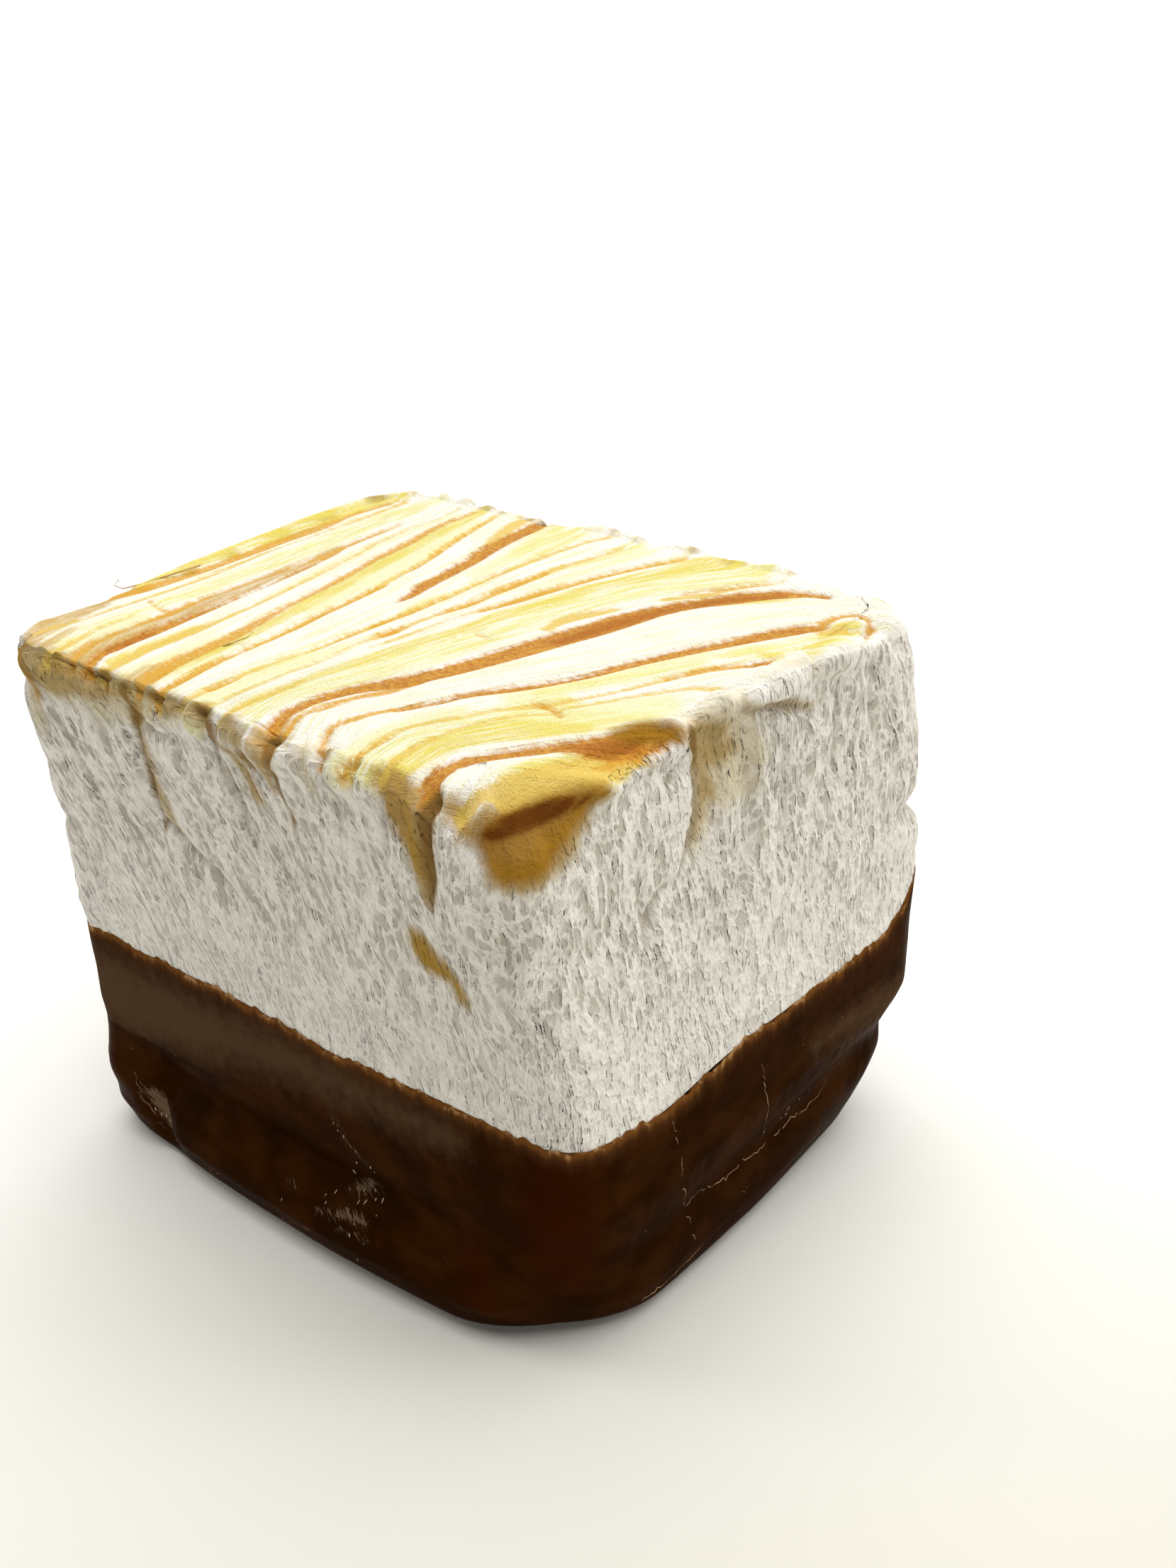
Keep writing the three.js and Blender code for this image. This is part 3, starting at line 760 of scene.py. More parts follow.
# %% Ribbons of the top: honey and yellow
HONEY_RIBBONS = [
    [(-17.6, 13.5, 0.4), (-17.6, 8, 0.3), (-17.7, 2, 0.35), (-17.5, -2, 0.35)]
    + [(-17.7, -5, 0.3), (-18.1, -8.4, 0.3), (-18.4, -11, 0.3), (-18.6, -13, 0.3)],
    [(-16, -8.4, 0.15), (-15.9, -11, 0.35), (-15.3, -13, 0.5)],
    [(-13.4, 14.2, 0.15), (-13.1, 8, 0.25), (-12.5, 5, 0.3), (-11.9, 1, 0.35), (-11.4, -2.6, 0.45)]
    + [(-11.2, -5.6, 0.45), (-11.1, -8, 0.8), (-11.1, -11, 0.95), (-10.8, -13.3, 0.85)],
    [(-10.4, 14.2, 0.4), (-9.6, 11.2, 0.45), (-8.6, 7.7, 0.45), (-7.9, 4.8, 0.45), (-7.2, 0.6, 0.5)]
    + [(-6.9, -4, 0.4), (-6.6, -8, 0.5), (-6.4, -10.8, 0.8), (-5.7, -13.4, 0.7)],
    [(-8.3, 14.6, 1), (-7.9, 12.6, 0.8), (-7.3, 10.6, 0.4)],
    [(-1.4, 14.6, 0.4), (-2.1, 12.4, 0.4), (-2.6, 9.4, 0.45), (-2.9, 6.4, 0.5)]
    + [(-2.8, 2.6, 0.45), (-2.85, -0.4, 0.55), (-3.2, -3, 0.6), (-3.3, -5.6, 0.4)]
    + [(-3.5, -8, 0.35), (-3.7, -11, 0.45), (-3.7, -13.4, 0.5)],
    [(0.5, 13.6, 0.4), (0, 11.4, 0.4), (-0.4, 9.4, 0.45), (-0.8, 6.4, 0.65)]
    + [(-0.9, 3.6, 0.6), (-1.1, 1.4, 0.4), (-1.3, -1, 0.4), (-1.6, -2.6, 0.8)]
    + [(-1.8, -4.6, 0.25), (-1.6, -6.8, 0.2), (-1.9, -9.4, 0.25), (-2, -13, 0.3)],
    [(4.7, 14.2, 0.5), (3.5, 11.7, 0.55), (2.4, 9.3, 0.75), (1.6, 6.6, 0.75), (0.9, 4.2, 0.7)]
    + [(0.4, 2.3, 0.5), (-0.1, 0, 0.2), (-0.4, -2.4, 0.25), (-0.9, -4.4, 0.15)],
    [(11.6, 13.9, 0.3), (10.2, 12.1, 0.4), (9.3, 10.3, 0.5), (8, 8.6, 0.5)],
    [(6.6, 6.2, 0.5), (5.9, 4.8, 0.8), (5.3, 3.4, 1), (5.5, 2.2, 0.6)],
    [(14.9, 0.8, 0.45), (13.6, -2.1, 0.35), (12.8, -3.5, 0.35), (12, -5, 0.45), (10.6, -6.5, 0.3)]
    + [(9.7, -8.2, 0.3), (8.6, -10, 0.3), (8.3, -11.6, 0.4), (8.6, -13.4, 0.5)],
    [(17.9, 1, 0.45), (16.6, 0.3, 0.35), (15.4, -1.1, 0.3), (14.2, -3, 0.25), (13, -5, 0.2)],
    [(13, -5.6, 0.2), (11.6, -6.8, 0.3), (10.6, -8.8, 0.3), (10.2, -11, 0.3), (10.6, -13.4, 0.5)],
    [(18.6, -6.2, 1.8), (18.2, -7.8, 2), (17.4, -9.8, 1.8), (16.6, -11.6, 1.4), (15.8, -13, 0.9)],
    [(-0.4, -9.4, 0.4), (-0.6, -12.9, 0.5)],
    [(18.2, 10.4, 0.8), (17.6, 9.4, 0.8)],
    [(17, -12.8, 0.7), (17.6, -11.7, 1.1), (18, -10.2, 1.1)],
    [(-20.6, -6, 0.3), (-20.7, -9, 0.4)],
]
YELLOW_RIBBONS = [
    [(-18.4, 14, 1), (-19.2, 10.3, 1.2), (-19.6, 6, 1.3), (-19.7, 1, 1.1), (-20, -5, 0.9)],
    [(-11.7, 14.2, 1.1), (-11.2, 10.8, 1.1), (-10.6, 8, 1), (-10.1, 5, 1.15), (-9.6, 2.5, 1.2)]
    + [(-9.1, 0, 1.3), (-8.7, -2.6, 1.3), (-8.1, -5, 1.1), (-7.7, -8, 1), (-7.6, -12, 1.2)],
    [(-11.3, -7.6, 1), (-11.2, -12.8, 1.3)],
    [(-6, 14.6, 0.7), (-6, 13, 0.4)],
    [(7.4, 14.4, 2.2), (6.1, 13.4, 2.4), (5.4, 12, 1.6), (4.6, 10, 1.7), (3.8, 8.2, 1.5), (3.1, 6.3, 1.3)]
    + [(2.6, 4.2, 1.3), (2.1, 2, 1.35), (1.8, -0.6, 1.2), (1.2, -2.8, 1.1), (0.7, -4.6, 1.1), (0.3, -6.4, 1.1)]
    + [(-0.2, -8.4, 0.8), (-0.4, -10.4, 0.8), (-0.6, -13.2, 0.9)],
    [(15.4, -6.1, 1.2), (13.7, -7.4, 2), (12.1, -8.5, 2.4), (11.2, -10.4, 2), (11.1, -12.6, 2)],
    [(18.6, -7, 2), (17.3, -8.7, 1.6), (15.9, -10.4, 0.9)],
    [(18.3, 10.8, 1.4), (18.5, 8.8, 1.1), (18.6, 6.8, 0.7)],
    [(13.6, 12.4, 0.4), (12.4, 11.2, 0.5), (10.9, 9.8, 0.4)],
    [(17.9, 5.5, 0.8), (16.9, 5.3, 0.5)],
]
print(len(HONEY_RIBBONS), "honey and", len(YELLOW_RIBBONS), "yellow ribbons")

# %% Ribbons of the top: lemon and cream
LEMON_RIBBONS = [
    [(-16, 14, 1.7), (-16, 9, 1.9), (-16, 3, 1.9), (-16, -3, 1.7), (-16.2, -8, 0.9), (-16.4, -13, 1.6)],
    [(-4.3, 14.4, 2.4), (-4.3, 12, 1.8), (-4.1, 9.4, 0.9)],
    [(1, 14.2, 1.2), (0.6, 12, 1), (0.2, 10, 0.8), (-0.2, 7.6, 0.5)],
    [(9.6, 14, 2.6), (8.8, 13, 2.8), (7.3, 11.2, 2.6), (6, 8.9, 2.5), (4.9, 6.5, 2.3)]
    + [(4.4, 4.6, 2.1), (3.8, 2.6, 2.1), (3.6, 0.2, 2.3), (3.2, -2, 2.2), (2.5, -4.4, 2.2)]
    + [(1.8, -6.8, 2.1), (0.8, -9.4, 1.6), (0.5, -13, 1.5)],
    [(18.2, 9, 1.6), (17.5, 7.4, 1.8), (16.6, 5.6, 1.6), (15.6, 4.2, 1)],
    [(15, 2.6, 0.9), (13.6, 0.4, 1), (12.3, -1.8, 1.1), (11, -3.8, 1.2)],
    [(12.6, -4.4, 2), (11.6, -6.4, 2.2), (10.4, -9, 2.2), (9.9, -11.6, 2.2), (10.4, -13.8, 2.4)],
    [(17, -3.4, 1.6), (15.4, -5.2, 2.4), (13.4, -6.6, 2.6)],
    [(18.2, -8.4, 2.4), (16.6, -10.8, 1.4)],
    [(-3, 14, 0.6), (-2.6, 8, 1), (-2.8, 1, 0.9), (-3.2, -4, 1), (-3.7, -13, 1)],
]
CREAM_RIBBONS = [
    [(-12.9, 13, 0.5), (-12.4, 6, 0.5), (-11.6, -2, 0.6)],
    [(-4.2, 13, 2.8), (-4.1, 10, 1.8), (-3.9, 6, 0.9)],
    [(2, 13.6, 1.4), (1.4, 10, 1), (0.5, 6, 0.7)],
    [(14.6, 3.4, 1.6), (13.2, 0.6, 1.8), (11.8, -2, 1.8), (10.4, -4.8, 2)],
    [(16.6, -2.2, 2.6), (15, -4.2, 3), (13, -6.4, 2.8)],
    [(-1.9, -5, 1), (-2.4, -9, 1.6), (-2.5, -13, 1.8)],
    [(18.3, -8.4, 2.8), (16.5, -11, 2.2)],
    [(-8.4, -8, 2.6), (-8.2, -11, 3.2), (-8, -14, 3.2)],
    [(-14.8, -9, 2.4), (-14.4, -13, 3)],
    [(-10.8, 12, 2.6), (-9.4, 5, 2.6), (-8.4, -2, 2.6)],
    [(9.2, -8, 1.4), (8, -11, 1.4), (8.4, -13.6, 1.4)],
]
print(len(LEMON_RIBBONS), "lemon and", len(CREAM_RIBBONS), "cream ribbons")
# %% [markdown]
# ## Drips and soaked patches
# Where a ribbon meets the edge, caramel ran down the cut side: dark threads of it in the creases, and soft
# honey patches where the foam drank it. On the front and the right they are given as (place, height,
# width). The widely rounded corner between these two belongs to neither, so its strokes are given in
# space. A few lists also hold what lies on the top: the deep core of the darkest ribbons and a tan haze.
# The rest follows a rule. At the front, most ribbons that end at the edge go on over it. At the back, the
# stronger ribbons that reach the edge run down it. On the left a ribbon lies all along the edge, so there
# the runs start at nearly even steps. Every length is drawn, with a seed.

# %% Drips, soaked patches and syrup
DRIPS = [
    on_front(
        [(-8.6, 30.6, 0.6), (-8.3, 29.4, 0.65), (-8.2, 28, 0.75)]
        + [(-8.1, 26.2, 0.85), (-7.9, 24.4, 0.75), (-7.6, 22.5, 0.2)]
    ),
    on_front(
        [(-2, 31.1, 0.9), (-1.5, 30.2, 0.9), (-1.2, 29.5, 0.6), (-1, 28.6, 0.35)]
        + [(-0.7, 27.4, 0.35), (-0.3, 26.2, 0.25)]
    ),
    on_front(
        [(13.9, 31.2, 0.8), (13.6, 29.8, 0.8), (13.4, 28.3, 0.65)]
        + [(13.25, 26.8, 0.45), (13.1, 25.2, 0.3), (13.1, 24.2, 0.1)]
    ),
    on_front([(-18, 30, 0.3), (-17.4, 29.5, 0.3), (-16.6, 29, 0.25), (-16.1, 28.4, 0.1)]),
    on_front(
        [(3.2, 31.3, 1), (3.4, 30.4, 0.9), (3.4, 29.3, 0.5)]
        + [(3.5, 28, 0.35), (3.8, 26.6, 0.25), (4, 25.6, 0.1)]
    ),
    on_front([(1, 29.6, 0.3), (1.7, 29.1, 0.5), (2.3, 28.6, 0.4)]),
    on_front([(1, 28.2, 0.3), (1.5, 27.6, 0.5), (1.7, 26.9, 0.3)]),
    on_front([(7, 31.4, 0.7), (7, 30.6, 0.5), (7.1, 30, 0.2)]),
    on_front([(-10.7, 31.2, 1), (-10.5, 30.3, 0.7), (-10.4, 29.6, 0.2)]),
    on_front([(-6, 30.9, 0.5), (-5.6, 30.5, 0.6), (-5.2, 30.2, 0.3)]),
    on_right([(-2.3, 30.5, 0.5), (-1.95, 29.7, 0.5), (-1.75, 28.9, 0.35), (-1.7, 28.1, 0.1)]),
]
SOAKED = [
    on_front([(-18.2, 30.8, 1.2), (-17.9, 29.8, 1.3), (-17.5, 28.8, 1), (-17.2, 28.1, 0.6)]),
    on_front([(-10.5, 31.3, 1.1), (-10.4, 30.4, 1), (-10.2, 29.9, 0.4)]),
    on_front([(-14.6, 31.2, 0.7), (-13.6, 31, 0.9), (-12.4, 31, 0.7)]),
    on_front([(3.6, 31.3, 1), (3.5, 30.3, 0.9), (3.4, 29.4, 0.5)]),
    on_front(
        [(10.4, 31.3, 0.8), (11.4, 30.8, 1.8), (11.9, 29.6, 1.9)]
        + [(12.3, 28.5, 1.5), (12.8, 27.6, 0.9), (13, 26.4, 0.5)]
    ),
    on_front([(11.7, 22.3, 1.1), (12.1, 21.8, 1.2), (12.8, 21.4, 0.8), (13.7, 21.1, 0.6), (14.2, 20.3, 0.5)]),
    on_front([(7.1, 31.4, 0.8), (7, 30.9, 0.5)]),
    on_front([(14.8, 30.8, 0.9), (15.5, 30.1, 1.3), (16, 29.5, 1)]),
    on_front([(-2.4, 31.2, 0.9), (-2, 30.4, 0.8)]),
]
SYRUP = [
    [(16.9, -13.7, 28.2, 1), (17.5, -13.3, 27.9, 1.8), (18.2, -12.3, 28.1, 2)]
    + [(18.5, -11.1, 28.8, 1.6), (18.6, -9.6, 29.2, 0.9)],
    [(16.6, -13.5, 28.9, 1.4), (17.2, -12.8, 29.1, 2.2), (17.9, -11.6, 29.3, 2.2)]
    + [(18.4, -10, 29.6, 1.8), (18.6, -8.2, 29.6, 0.9)],
    [(17, -5.4, 31, 0.7), (17.6, -4.3, 30.9, 1.4), (18.1, -3.4, 30.5, 1.2), (18.2, -2.9, 30.1, 0.4)],
]
print(len(DRIPS), "drips,", len(SOAKED), "soaked patches and", len(SYRUP), "strokes of syrup")

# %% Clean foam, dark cores and tan haze
CLEAN = [
    on_right(
        [(-3.3, 29.6, 0.7), (-3, 28.8, 0.9), (-2.9, 27.6, 0.9)]
        + [(-3.2, 26.1, 0.9), (-3.7, 24.9, 0.8), (-4.4, 23.8, 0.5)]
    ),
    on_right([(1.6, 30.9, 0.5), (2.8, 30.6, 0.7), (4, 30.5, 0.8), (5.2, 30.4, 0.7), (6, 30.7, 0.4)]),
]
ARC = [
    [(16.3, -13.6, 28.9, 0.4), (16.8, -12.9, 29.2, 0.8), (17.3, -12.1, 29.5, 1)]
    + [(17.8, -11, 29.7, 1), (18.2, -9.9, 29.7, 0.7), (18.6, -8.8, 29.6, 0.2)],
]
DEEP = [
    on_top(
        [(12.6, 12.6, 0.5), (11.1, 11.1, 0.7), (9.7, 9.2, 0.6), (8.8, 7.4, 0.8)]
        + [(8.1, 5.6, 1.1), (7.5, 3.6, 1), (6.9, 1.4, 0.6)]
    ),
    on_top([(17.9, -5.2, 1.2), (17, -6.6, 0.8), (15.9, -7.8, 0.4)]),
    on_top([(-13.2, -9.4, 0.5), (-13.1, -12, 0.6)]),
]
TAN = [
    [(16.6, -8, 30.9, 0.3), (17.6, -6.8, 30.6, 0.6), (18.4, -5.8, 30.2, 0.7), (18.7, -5, 29.9, 0.5)],
    on_top(
        [(-14.5, 9, 0.4), (-14.3, 4, 0.7), (-14.1, 0, 1.1), (-14, -3.6, 1.5)]
        + [(-14, -8, 1.6), (-13.8, -12, 1.9), (-13, -14.2, 2)]
    ),
    on_top([(-19.6, -6, 0.6), (-19.5, -8, 1.4), (-19.2, -11, 1.8), (-18.4, -13.4, 1.6)]),
    on_top([(-17.2, -11.6, 0.5), (-16.6, -13.6, 1.2)]),
    on_top([(-8.3, -12.6, 1.6), (-7.9, -14.2, 1.8)]),
    on_top([(2.5, -13, 1.2), (3, -14.3, 1.6)]),
]
print(len(CLEAN), "clean,", len(ARC + DEEP), "dark and", len(TAN), "tan strokes")

# %% Beige and stained foam
BEIGE = [
    on_right([(-2.4, 30.4, 1.4), (-1, 30, 2), (0.8, 29.5, 1.6)]),
    on_right([(-1.6, 28.8, 2.2), (-0.2, 28.4, 2.6), (1.4, 28, 2), (2, 27.4, 1.2)]),
    on_right([(-1.6, 27.2, 2), (-0.4, 26.8, 2.2), (1, 26.4, 1.4)]),
    on_right([(-2, 26.2, 1.6), (-2, 25.4, 1.4), (-2.6, 24.4, 0.6)]),
    on_right([(0.2, 31, 0.7), (2, 30.6, 0.6), (4, 30.9, 0.6), (6, 31, 0.6)]),
    on_front([(-17.6, 28, 1.2), (-17.3, 26.4, 0.8)]),
    on_front(
        [(-16, 29.6, 1.4), (-13, 29.4, 1.4), (-11, 29, 1.4)]
        + [(-9, 29.4, 1.4), (-6.4, 29.9, 1.2), (-4.4, 30.2, 1)]
    ),
    on_front([(5.4, 31.1, 0.9), (5.8, 30.2, 0.7), (6, 29, 0.4)]),
    on_front([(-12, 29, 1), (-11.6, 28, 0.6)]),
]
STAINED = [
    on_right([(-1.9, 30.2, 0.9), (-1.2, 29.6, 1.5), (-0.2, 29.3, 1.2)]),
    on_right([(-1.4, 28.8, 1.4), (-0.6, 28.5, 1.6), (0.4, 28.4, 1)]),
    on_right([(-1.5, 27.4, 1), (-1.3, 26.6, 0.9)]),
    on_right([(1.2, 30, 0.3), (3.3, 29.6, 0.5), (4.8, 29, 0.5), (6.2, 28.4, 0.2)]),
    on_front([(-6.6, 30.9, 0.9), (-5, 30.6, 1.1), (-3.4, 30.6, 1)]),
    on_front([(-16.4, 29.6, 0.4), (-14.8, 29.1, 0.4), (-13.4, 28.3, 0.2)]),
    on_front([(-17.4, 30.3, 2.4), (-15, 30.1, 2.4), (-12.4, 30.2, 2), (-10.4, 30.3, 1.7), (-8.6, 30.6, 0.9)]),
    on_front([(0, 31, 1), (0.6, 30.5, 1), (1.2, 30.2, 0.8)]),
    on_front([(-0.6, 29.7, 0.6), (0.4, 29.4, 0.7), (1.6, 29.1, 0.7)]),
    on_front([(0.4, 28.8, 0.9), (0.9, 28.2, 1.2), (1.3, 27.2, 1.2)]),
    on_front([(2.8, 30.8, 0.8), (2.9, 29.4, 0.8), (3, 28, 0.5)]),
    on_front([(-8, 30, 0.7), (-8, 28.4, 0.7), (-7.7, 26.6, 0.8), (-7.3, 24.4, 0.7), (-6.6, 22.9, 0.4)]),
    on_front([(13.2, 30, 2), (13, 27.6, 1.5), (12.9, 25, 0.7)]),
    on_front([(11.7, 22.4, 1.5), (12.5, 21.7, 1.5), (13.6, 21.2, 1), (14.3, 20.2, 0.8)]),
    on_right([(-2, 30, 1), (-1.5, 28.8, 1.1), (-1.5, 27.4, 0.8), (-1.8, 26.1, 0.6), (-2.5, 24.9, 0.4)]),
    [(17.2, -13.7, 27.4, 1.2), (18.2, -12.6, 27.3, 1.5), (18.6, -11, 28, 1.6), (18.7, -9.2, 28.9, 1)],
    [(16.2, -13.2, 29.4, 1.5), (17, -12, 30.2, 1.5), (17.8, -10.2, 30.3, 1)],
]
print(len(BEIGE), "beige and", len(STAINED), "stained patches")

# %% Runs at the back, on the left and over the front edge
RUN_SEED = 31
RUN_START = 0.1
RUN_LENGTHS = (0.8, 5.5)
RUN_LEAN = 0.16
RUN_MARKS = (0, 0.35, 0.7, 1)
RUN_WIDTHS = (1.1, 0.8, 0.7, 0.3)
BACK_EDGE_FROM = 12
BACK_WIDTH = {"share": 0.7, "more": 0.2}
LEFT_RUNS = {"from": -12, "to": 12.5, "count": 8, "wander": 0.7, "step": 0.2}
LEFT_WIDTHS = {"stain": (0.5, 1.6), "drip": (0.2, 0.7)}
FRONT_EDGE_FROM = -12.5
FRONT_FACE = -14.8
OVER_EDGE_DROP = 0.5
OVER_EDGE_SLIDE = 0.4
OVER_EDGE_LENGTHS = (0.6, 1.4)
run_draw = np.random.default_rng(RUN_SEED)


def run_down(place, width):
    """A drip from the top edge at that place: (place, height, width) at four heights."""
    length = run_draw.uniform(*RUN_LENGTHS)
    lean = run_draw.normal(0, RUN_LEAN)
    start = TOP - RUN_START
    steps = zip(RUN_MARKS, RUN_WIDTHS)
    return [(place + lean * length * t, start - length * t, width * share) for t, share in steps]


def over_the_edge(ribbon):
    """A ribbon of the top. One that ends at the front edge goes on over it, for a drawn length."""
    before, last = ribbon[-2], ribbon[-1]
    path = on_top(ribbon)
    if last[1] < FRONT_EDGE_FROM:
        x = last[0] + (last[0] - before[0]) * OVER_EDGE_SLIDE
        path.append((x, FRONT_FACE, TOP - OVER_EDGE_DROP, last[2]))
        path.append((x, FRONT_FACE, TOP - run_draw.uniform(*OVER_EDGE_LENGTHS), last[2] / 2))
    return path


for ribbons, kind in (
    (BROWN_RIBBONS, DRIPS),
    (AMBER_RIBBONS, SOAKED),
    (HONEY_RIBBONS, STAINED),
    (YELLOW_RIBBONS, STAINED),
):
    for ribbon in ribbons:
        x, y, width = max(ribbon, key=lambda point: point[1])
        if y > BACK_EDGE_FROM:
            kind.append(on_back(run_down(x, width * BACK_WIDTH["share"] + BACK_WIDTH["more"])))
for place in np.linspace(LEFT_RUNS["from"], LEFT_RUNS["to"], LEFT_RUNS["count"]):
    start = place + run_draw.normal(0, LEFT_RUNS["wander"])
    STAINED.append(on_left(run_down(start, run_draw.uniform(*LEFT_WIDTHS["stain"]))))
    SOAKED.append(on_left(run_down(start + LEFT_RUNS["step"], run_draw.uniform(*LEFT_WIDTHS["drip"]))))
print("with the runs,", len(DRIPS), "drips,", len(SOAKED), "soaked and", len(STAINED), "stained patches")

# %% Tones as depths on the skin
TONES = {
    "brown": map(over_the_edge, BROWN_RIBBONS),
    "amber": map(over_the_edge, AMBER_RIBBONS),
    "honey": map(over_the_edge, HONEY_RIBBONS),
    "yellow": map(on_top, YELLOW_RIBBONS),
    "lemon": map(on_top, LEMON_RIBBONS),
    "cream": map(over_the_edge, CREAM_RIBBONS),
    "tan": TAN,
    "beige": BEIGE,
    "deep": DEEP,
    "arc": ARC,
    "drip": DRIPS,
    "soaked": SOAKED,
    "stained": STAINED,
    "syrup": SYRUP,
    "clean": CLEAN,
}
fields = {tone: block_skin.draw(strokes)[0] for tone, strokes in TONES.items()}
for tone, field in fields.items():
    print(tone, "covers", round(100 * (field > 0).mean(), 1), "% of the skin's points")

# %% [markdown]
# ## Which way the foam runs
# The top was folded along the fan, so its fine streaks follow the ribbons. Eleven guide lines tell how:
# between two of them, the flow is blended. The cut sides have wrinkles that run up and down, and on the
# front they lean. Both ways are kept as coordinates for each point: noise read there comes out as
# streaks along the fan or as wrinkles up the side, in the mesh and in the finish alike.

# %% Coordinates along the flow
GUIDE_YS = (-14.5, -11, -6, -1, 4, 9, 14)
GUIDES = [
    (-19.6, -19.9, -19.7, -18.8, -18.6, -18.1, -18.3),
    (-11.3, -13.2, -13.2, -13.3, -14.0, -14.5, -14.6),
    (-7.2, -8.3, -9.1, -9.8, -10.5, -11.5, -12.4),
    (-5.6, -6.4, -6.85, -7.2, -8.0, -9.0, -10.3),
    (-3.8, -3.8, -3.35, -3.0, -2.95, -2.65, -1.6),
    (-2, -1.9, -1.45, -1.15, -0.8, -0.4, 1.4),
    (-0.8, -0.6, 0.6, 1.6, 2.4, 4.3, 6.8),
    (3.5, 1.75, 4.1, 5.8, 7.4, 9.5, 15.5),
    (7.6, 5.45, 8.1, 11.1, 13.6, 16.2, 19.5),
    (9.2, 8.45, 10.9, 14.2, 17.3, 20.2, 23),
    (13.8, 13.4, 17.8, 21, 23.5, 26, 28),
]
GUIDE_MIDDLE = GUIDE_YS.index(-1)
FACES_FRONT = (0.35, 0.9)
FRONT_LEAN = {"from": -18, "to": 16, "left": 0.62, "right": 0.12, "pivot": 22}
SWAY = {"amount": 0.5, "size": 4.5, "seed": 41}


def along_flow(points):
    """Coordinates that run across the fan and along it, in mm."""
    x, y, z = points.T
    lines = [np.interp(y, GUIDE_YS, guide) for guide in GUIDES]
    names = [guide[GUIDE_MIDDLE] for guide in GUIDES]
    across = names[0] + np.minimum(0, x - lines[0]) + np.maximum(0, x - lines[-1])
    for line, next_line, name, next_name in zip(lines, lines[1:], names, names[1:]):
        across += (next_name - name) * np.clip((x - line) / (next_line - line), 0, 1)
    return np.stack([across, y + z - TOP, 0 * z], 1)


def up_the_side(points, normals):
    """Coordinates whose third axis runs along the wrinkles of the sides, in mm."""
    x, y, z = points.T
    ends, leans = (FRONT_LEAN["from"], FRONT_LEAN["to"]), (FRONT_LEAN["left"], FRONT_LEAN["right"])
    lean = smooth(-normals[:, 1], *FACES_FRONT) * np.interp(x, ends, leans)
    sway = SWAY["amount"] * noise(points, SWAY["size"], SWAY["seed"])
    return np.stack([x + lean * (z - FRONT_LEAN["pivot"]) + sway, y + sway, z], 1)


flow = along_flow(block_smooth)
grain = up_the_side(block_smooth, block_normals)
print("flow runs from", flow[:, 0].min().round(1), "to", flow[:, 0].max().round(1), "mm across the fan")

# %% [markdown]
# ## Relief of the foam
# Cut foam shows what the knife did. Its sides are crinkled like bark, finer and less straight lower down.
# The ribbons lie in grooves, and where they cross an edge the foam between them bulges over it in little
# lobes. A flap hangs on the right, its edge a sharp step, and a tongue is folded over the front right
# corner. We push the points of the skin along their normals by the sum of all this. Bump alone would be
# cheaper, but the outline would stay dead straight and the light would never catch an edge.

# %% Creases and ridges
CREASES = [
    on_front(
        [(-8.2, 29.3, 0.2), (-8.2, 27, 0.4), (-8, 25.2, 0.5), (-7.7, 23.4, 0.45)]
        + [(-6.6, 22.5, 0.35), (-5.2, 21.5, 0.3), (-3.4, 20.7, 0.2), (-2, 19.8, 0.1)]
    ),
    on_front(
        [(-2.3, 30.8, 0.4), (-1.8, 29.3, 0.4), (-1.4, 27.9, 0.35)]
        + [(-0.7, 26.3, 0.35), (-0.5, 24.9, 0.3), (0.3, 23.7, 0.1)]
    ),
    on_front([(3.5, 30.9, 0.35), (3.4, 29.3, 0.3), (3.5, 27.8, 0.2), (3.8, 26.4, 0.1)]),
    on_front([(13.8, 31, 0.35), (13.5, 29, 0.45), (13.3, 26.6, 0.35), (13, 24.2, 0.1)]),
    on_front([(-16.8, 29.4, 0.3), (-15.6, 27, 0.3), (-14.2, 24.4, 0.25), (-13.2, 22.4, 0.1)]),
    on_front([(-12.6, 29.4, 0.25), (-11.6, 27, 0.25), (-10.2, 24.6, 0.15)]),
    on_front([(-8.8, 29.6, 0.2), (-7.9, 29, 0.3), (-6.2, 28.5, 0.3), (-5.3, 28.6, 0.15)]),
    on_front([(-5.2, 29.6, 0.2), (-4.5, 27.6, 0.25), (-3.6, 26, 0.1)]),
    on_front([(1.2, 29.6, 0.15), (1.8, 28.7, 0.3), (2.3, 28.3, 0.15)]),
    on_front([(7.4, 30.4, 0.25), (7.7, 28.6, 0.25), (7.3, 26.8, 0.1)]),
    on_front([(10.6, 29.8, 0.2), (10.7, 27.8, 0.25), (10.2, 25.6, 0.1)]),
    on_right([(-4.8, 23.3, 0.3), (-5.7, 23, 0.35), (-6.4, 22.1, 0.3), (-6.7, 20.6, 0.1)]),
    on_right([(1, 30.1, 0.15), (3.3, 29.5, 0.4), (4.8, 28.9, 0.4), (6, 28.2, 0.15)]),
    on_right([(-4.1, 28.3, 0.2), (-3.1, 28.8, 0.4), (-3, 29.6, 0.2)]),
    on_right([(8.4, 29.4, 0.1), (7.9, 27, 0.25), (7.4, 24.8, 0.1)]),
    on_right([(10.9, 29.4, 0.15), (10.6, 26.6, 0.25), (10.9, 24, 0.1)]),
    on_right([(3.9, 27.4, 0.1), (3.6, 25, 0.25), (3.3, 22, 0.1)]),
    on_right([(-8.8, 27.2, 0.1), (-8.4, 25, 0.25), (-8.8, 22.6, 0.1)]),
]
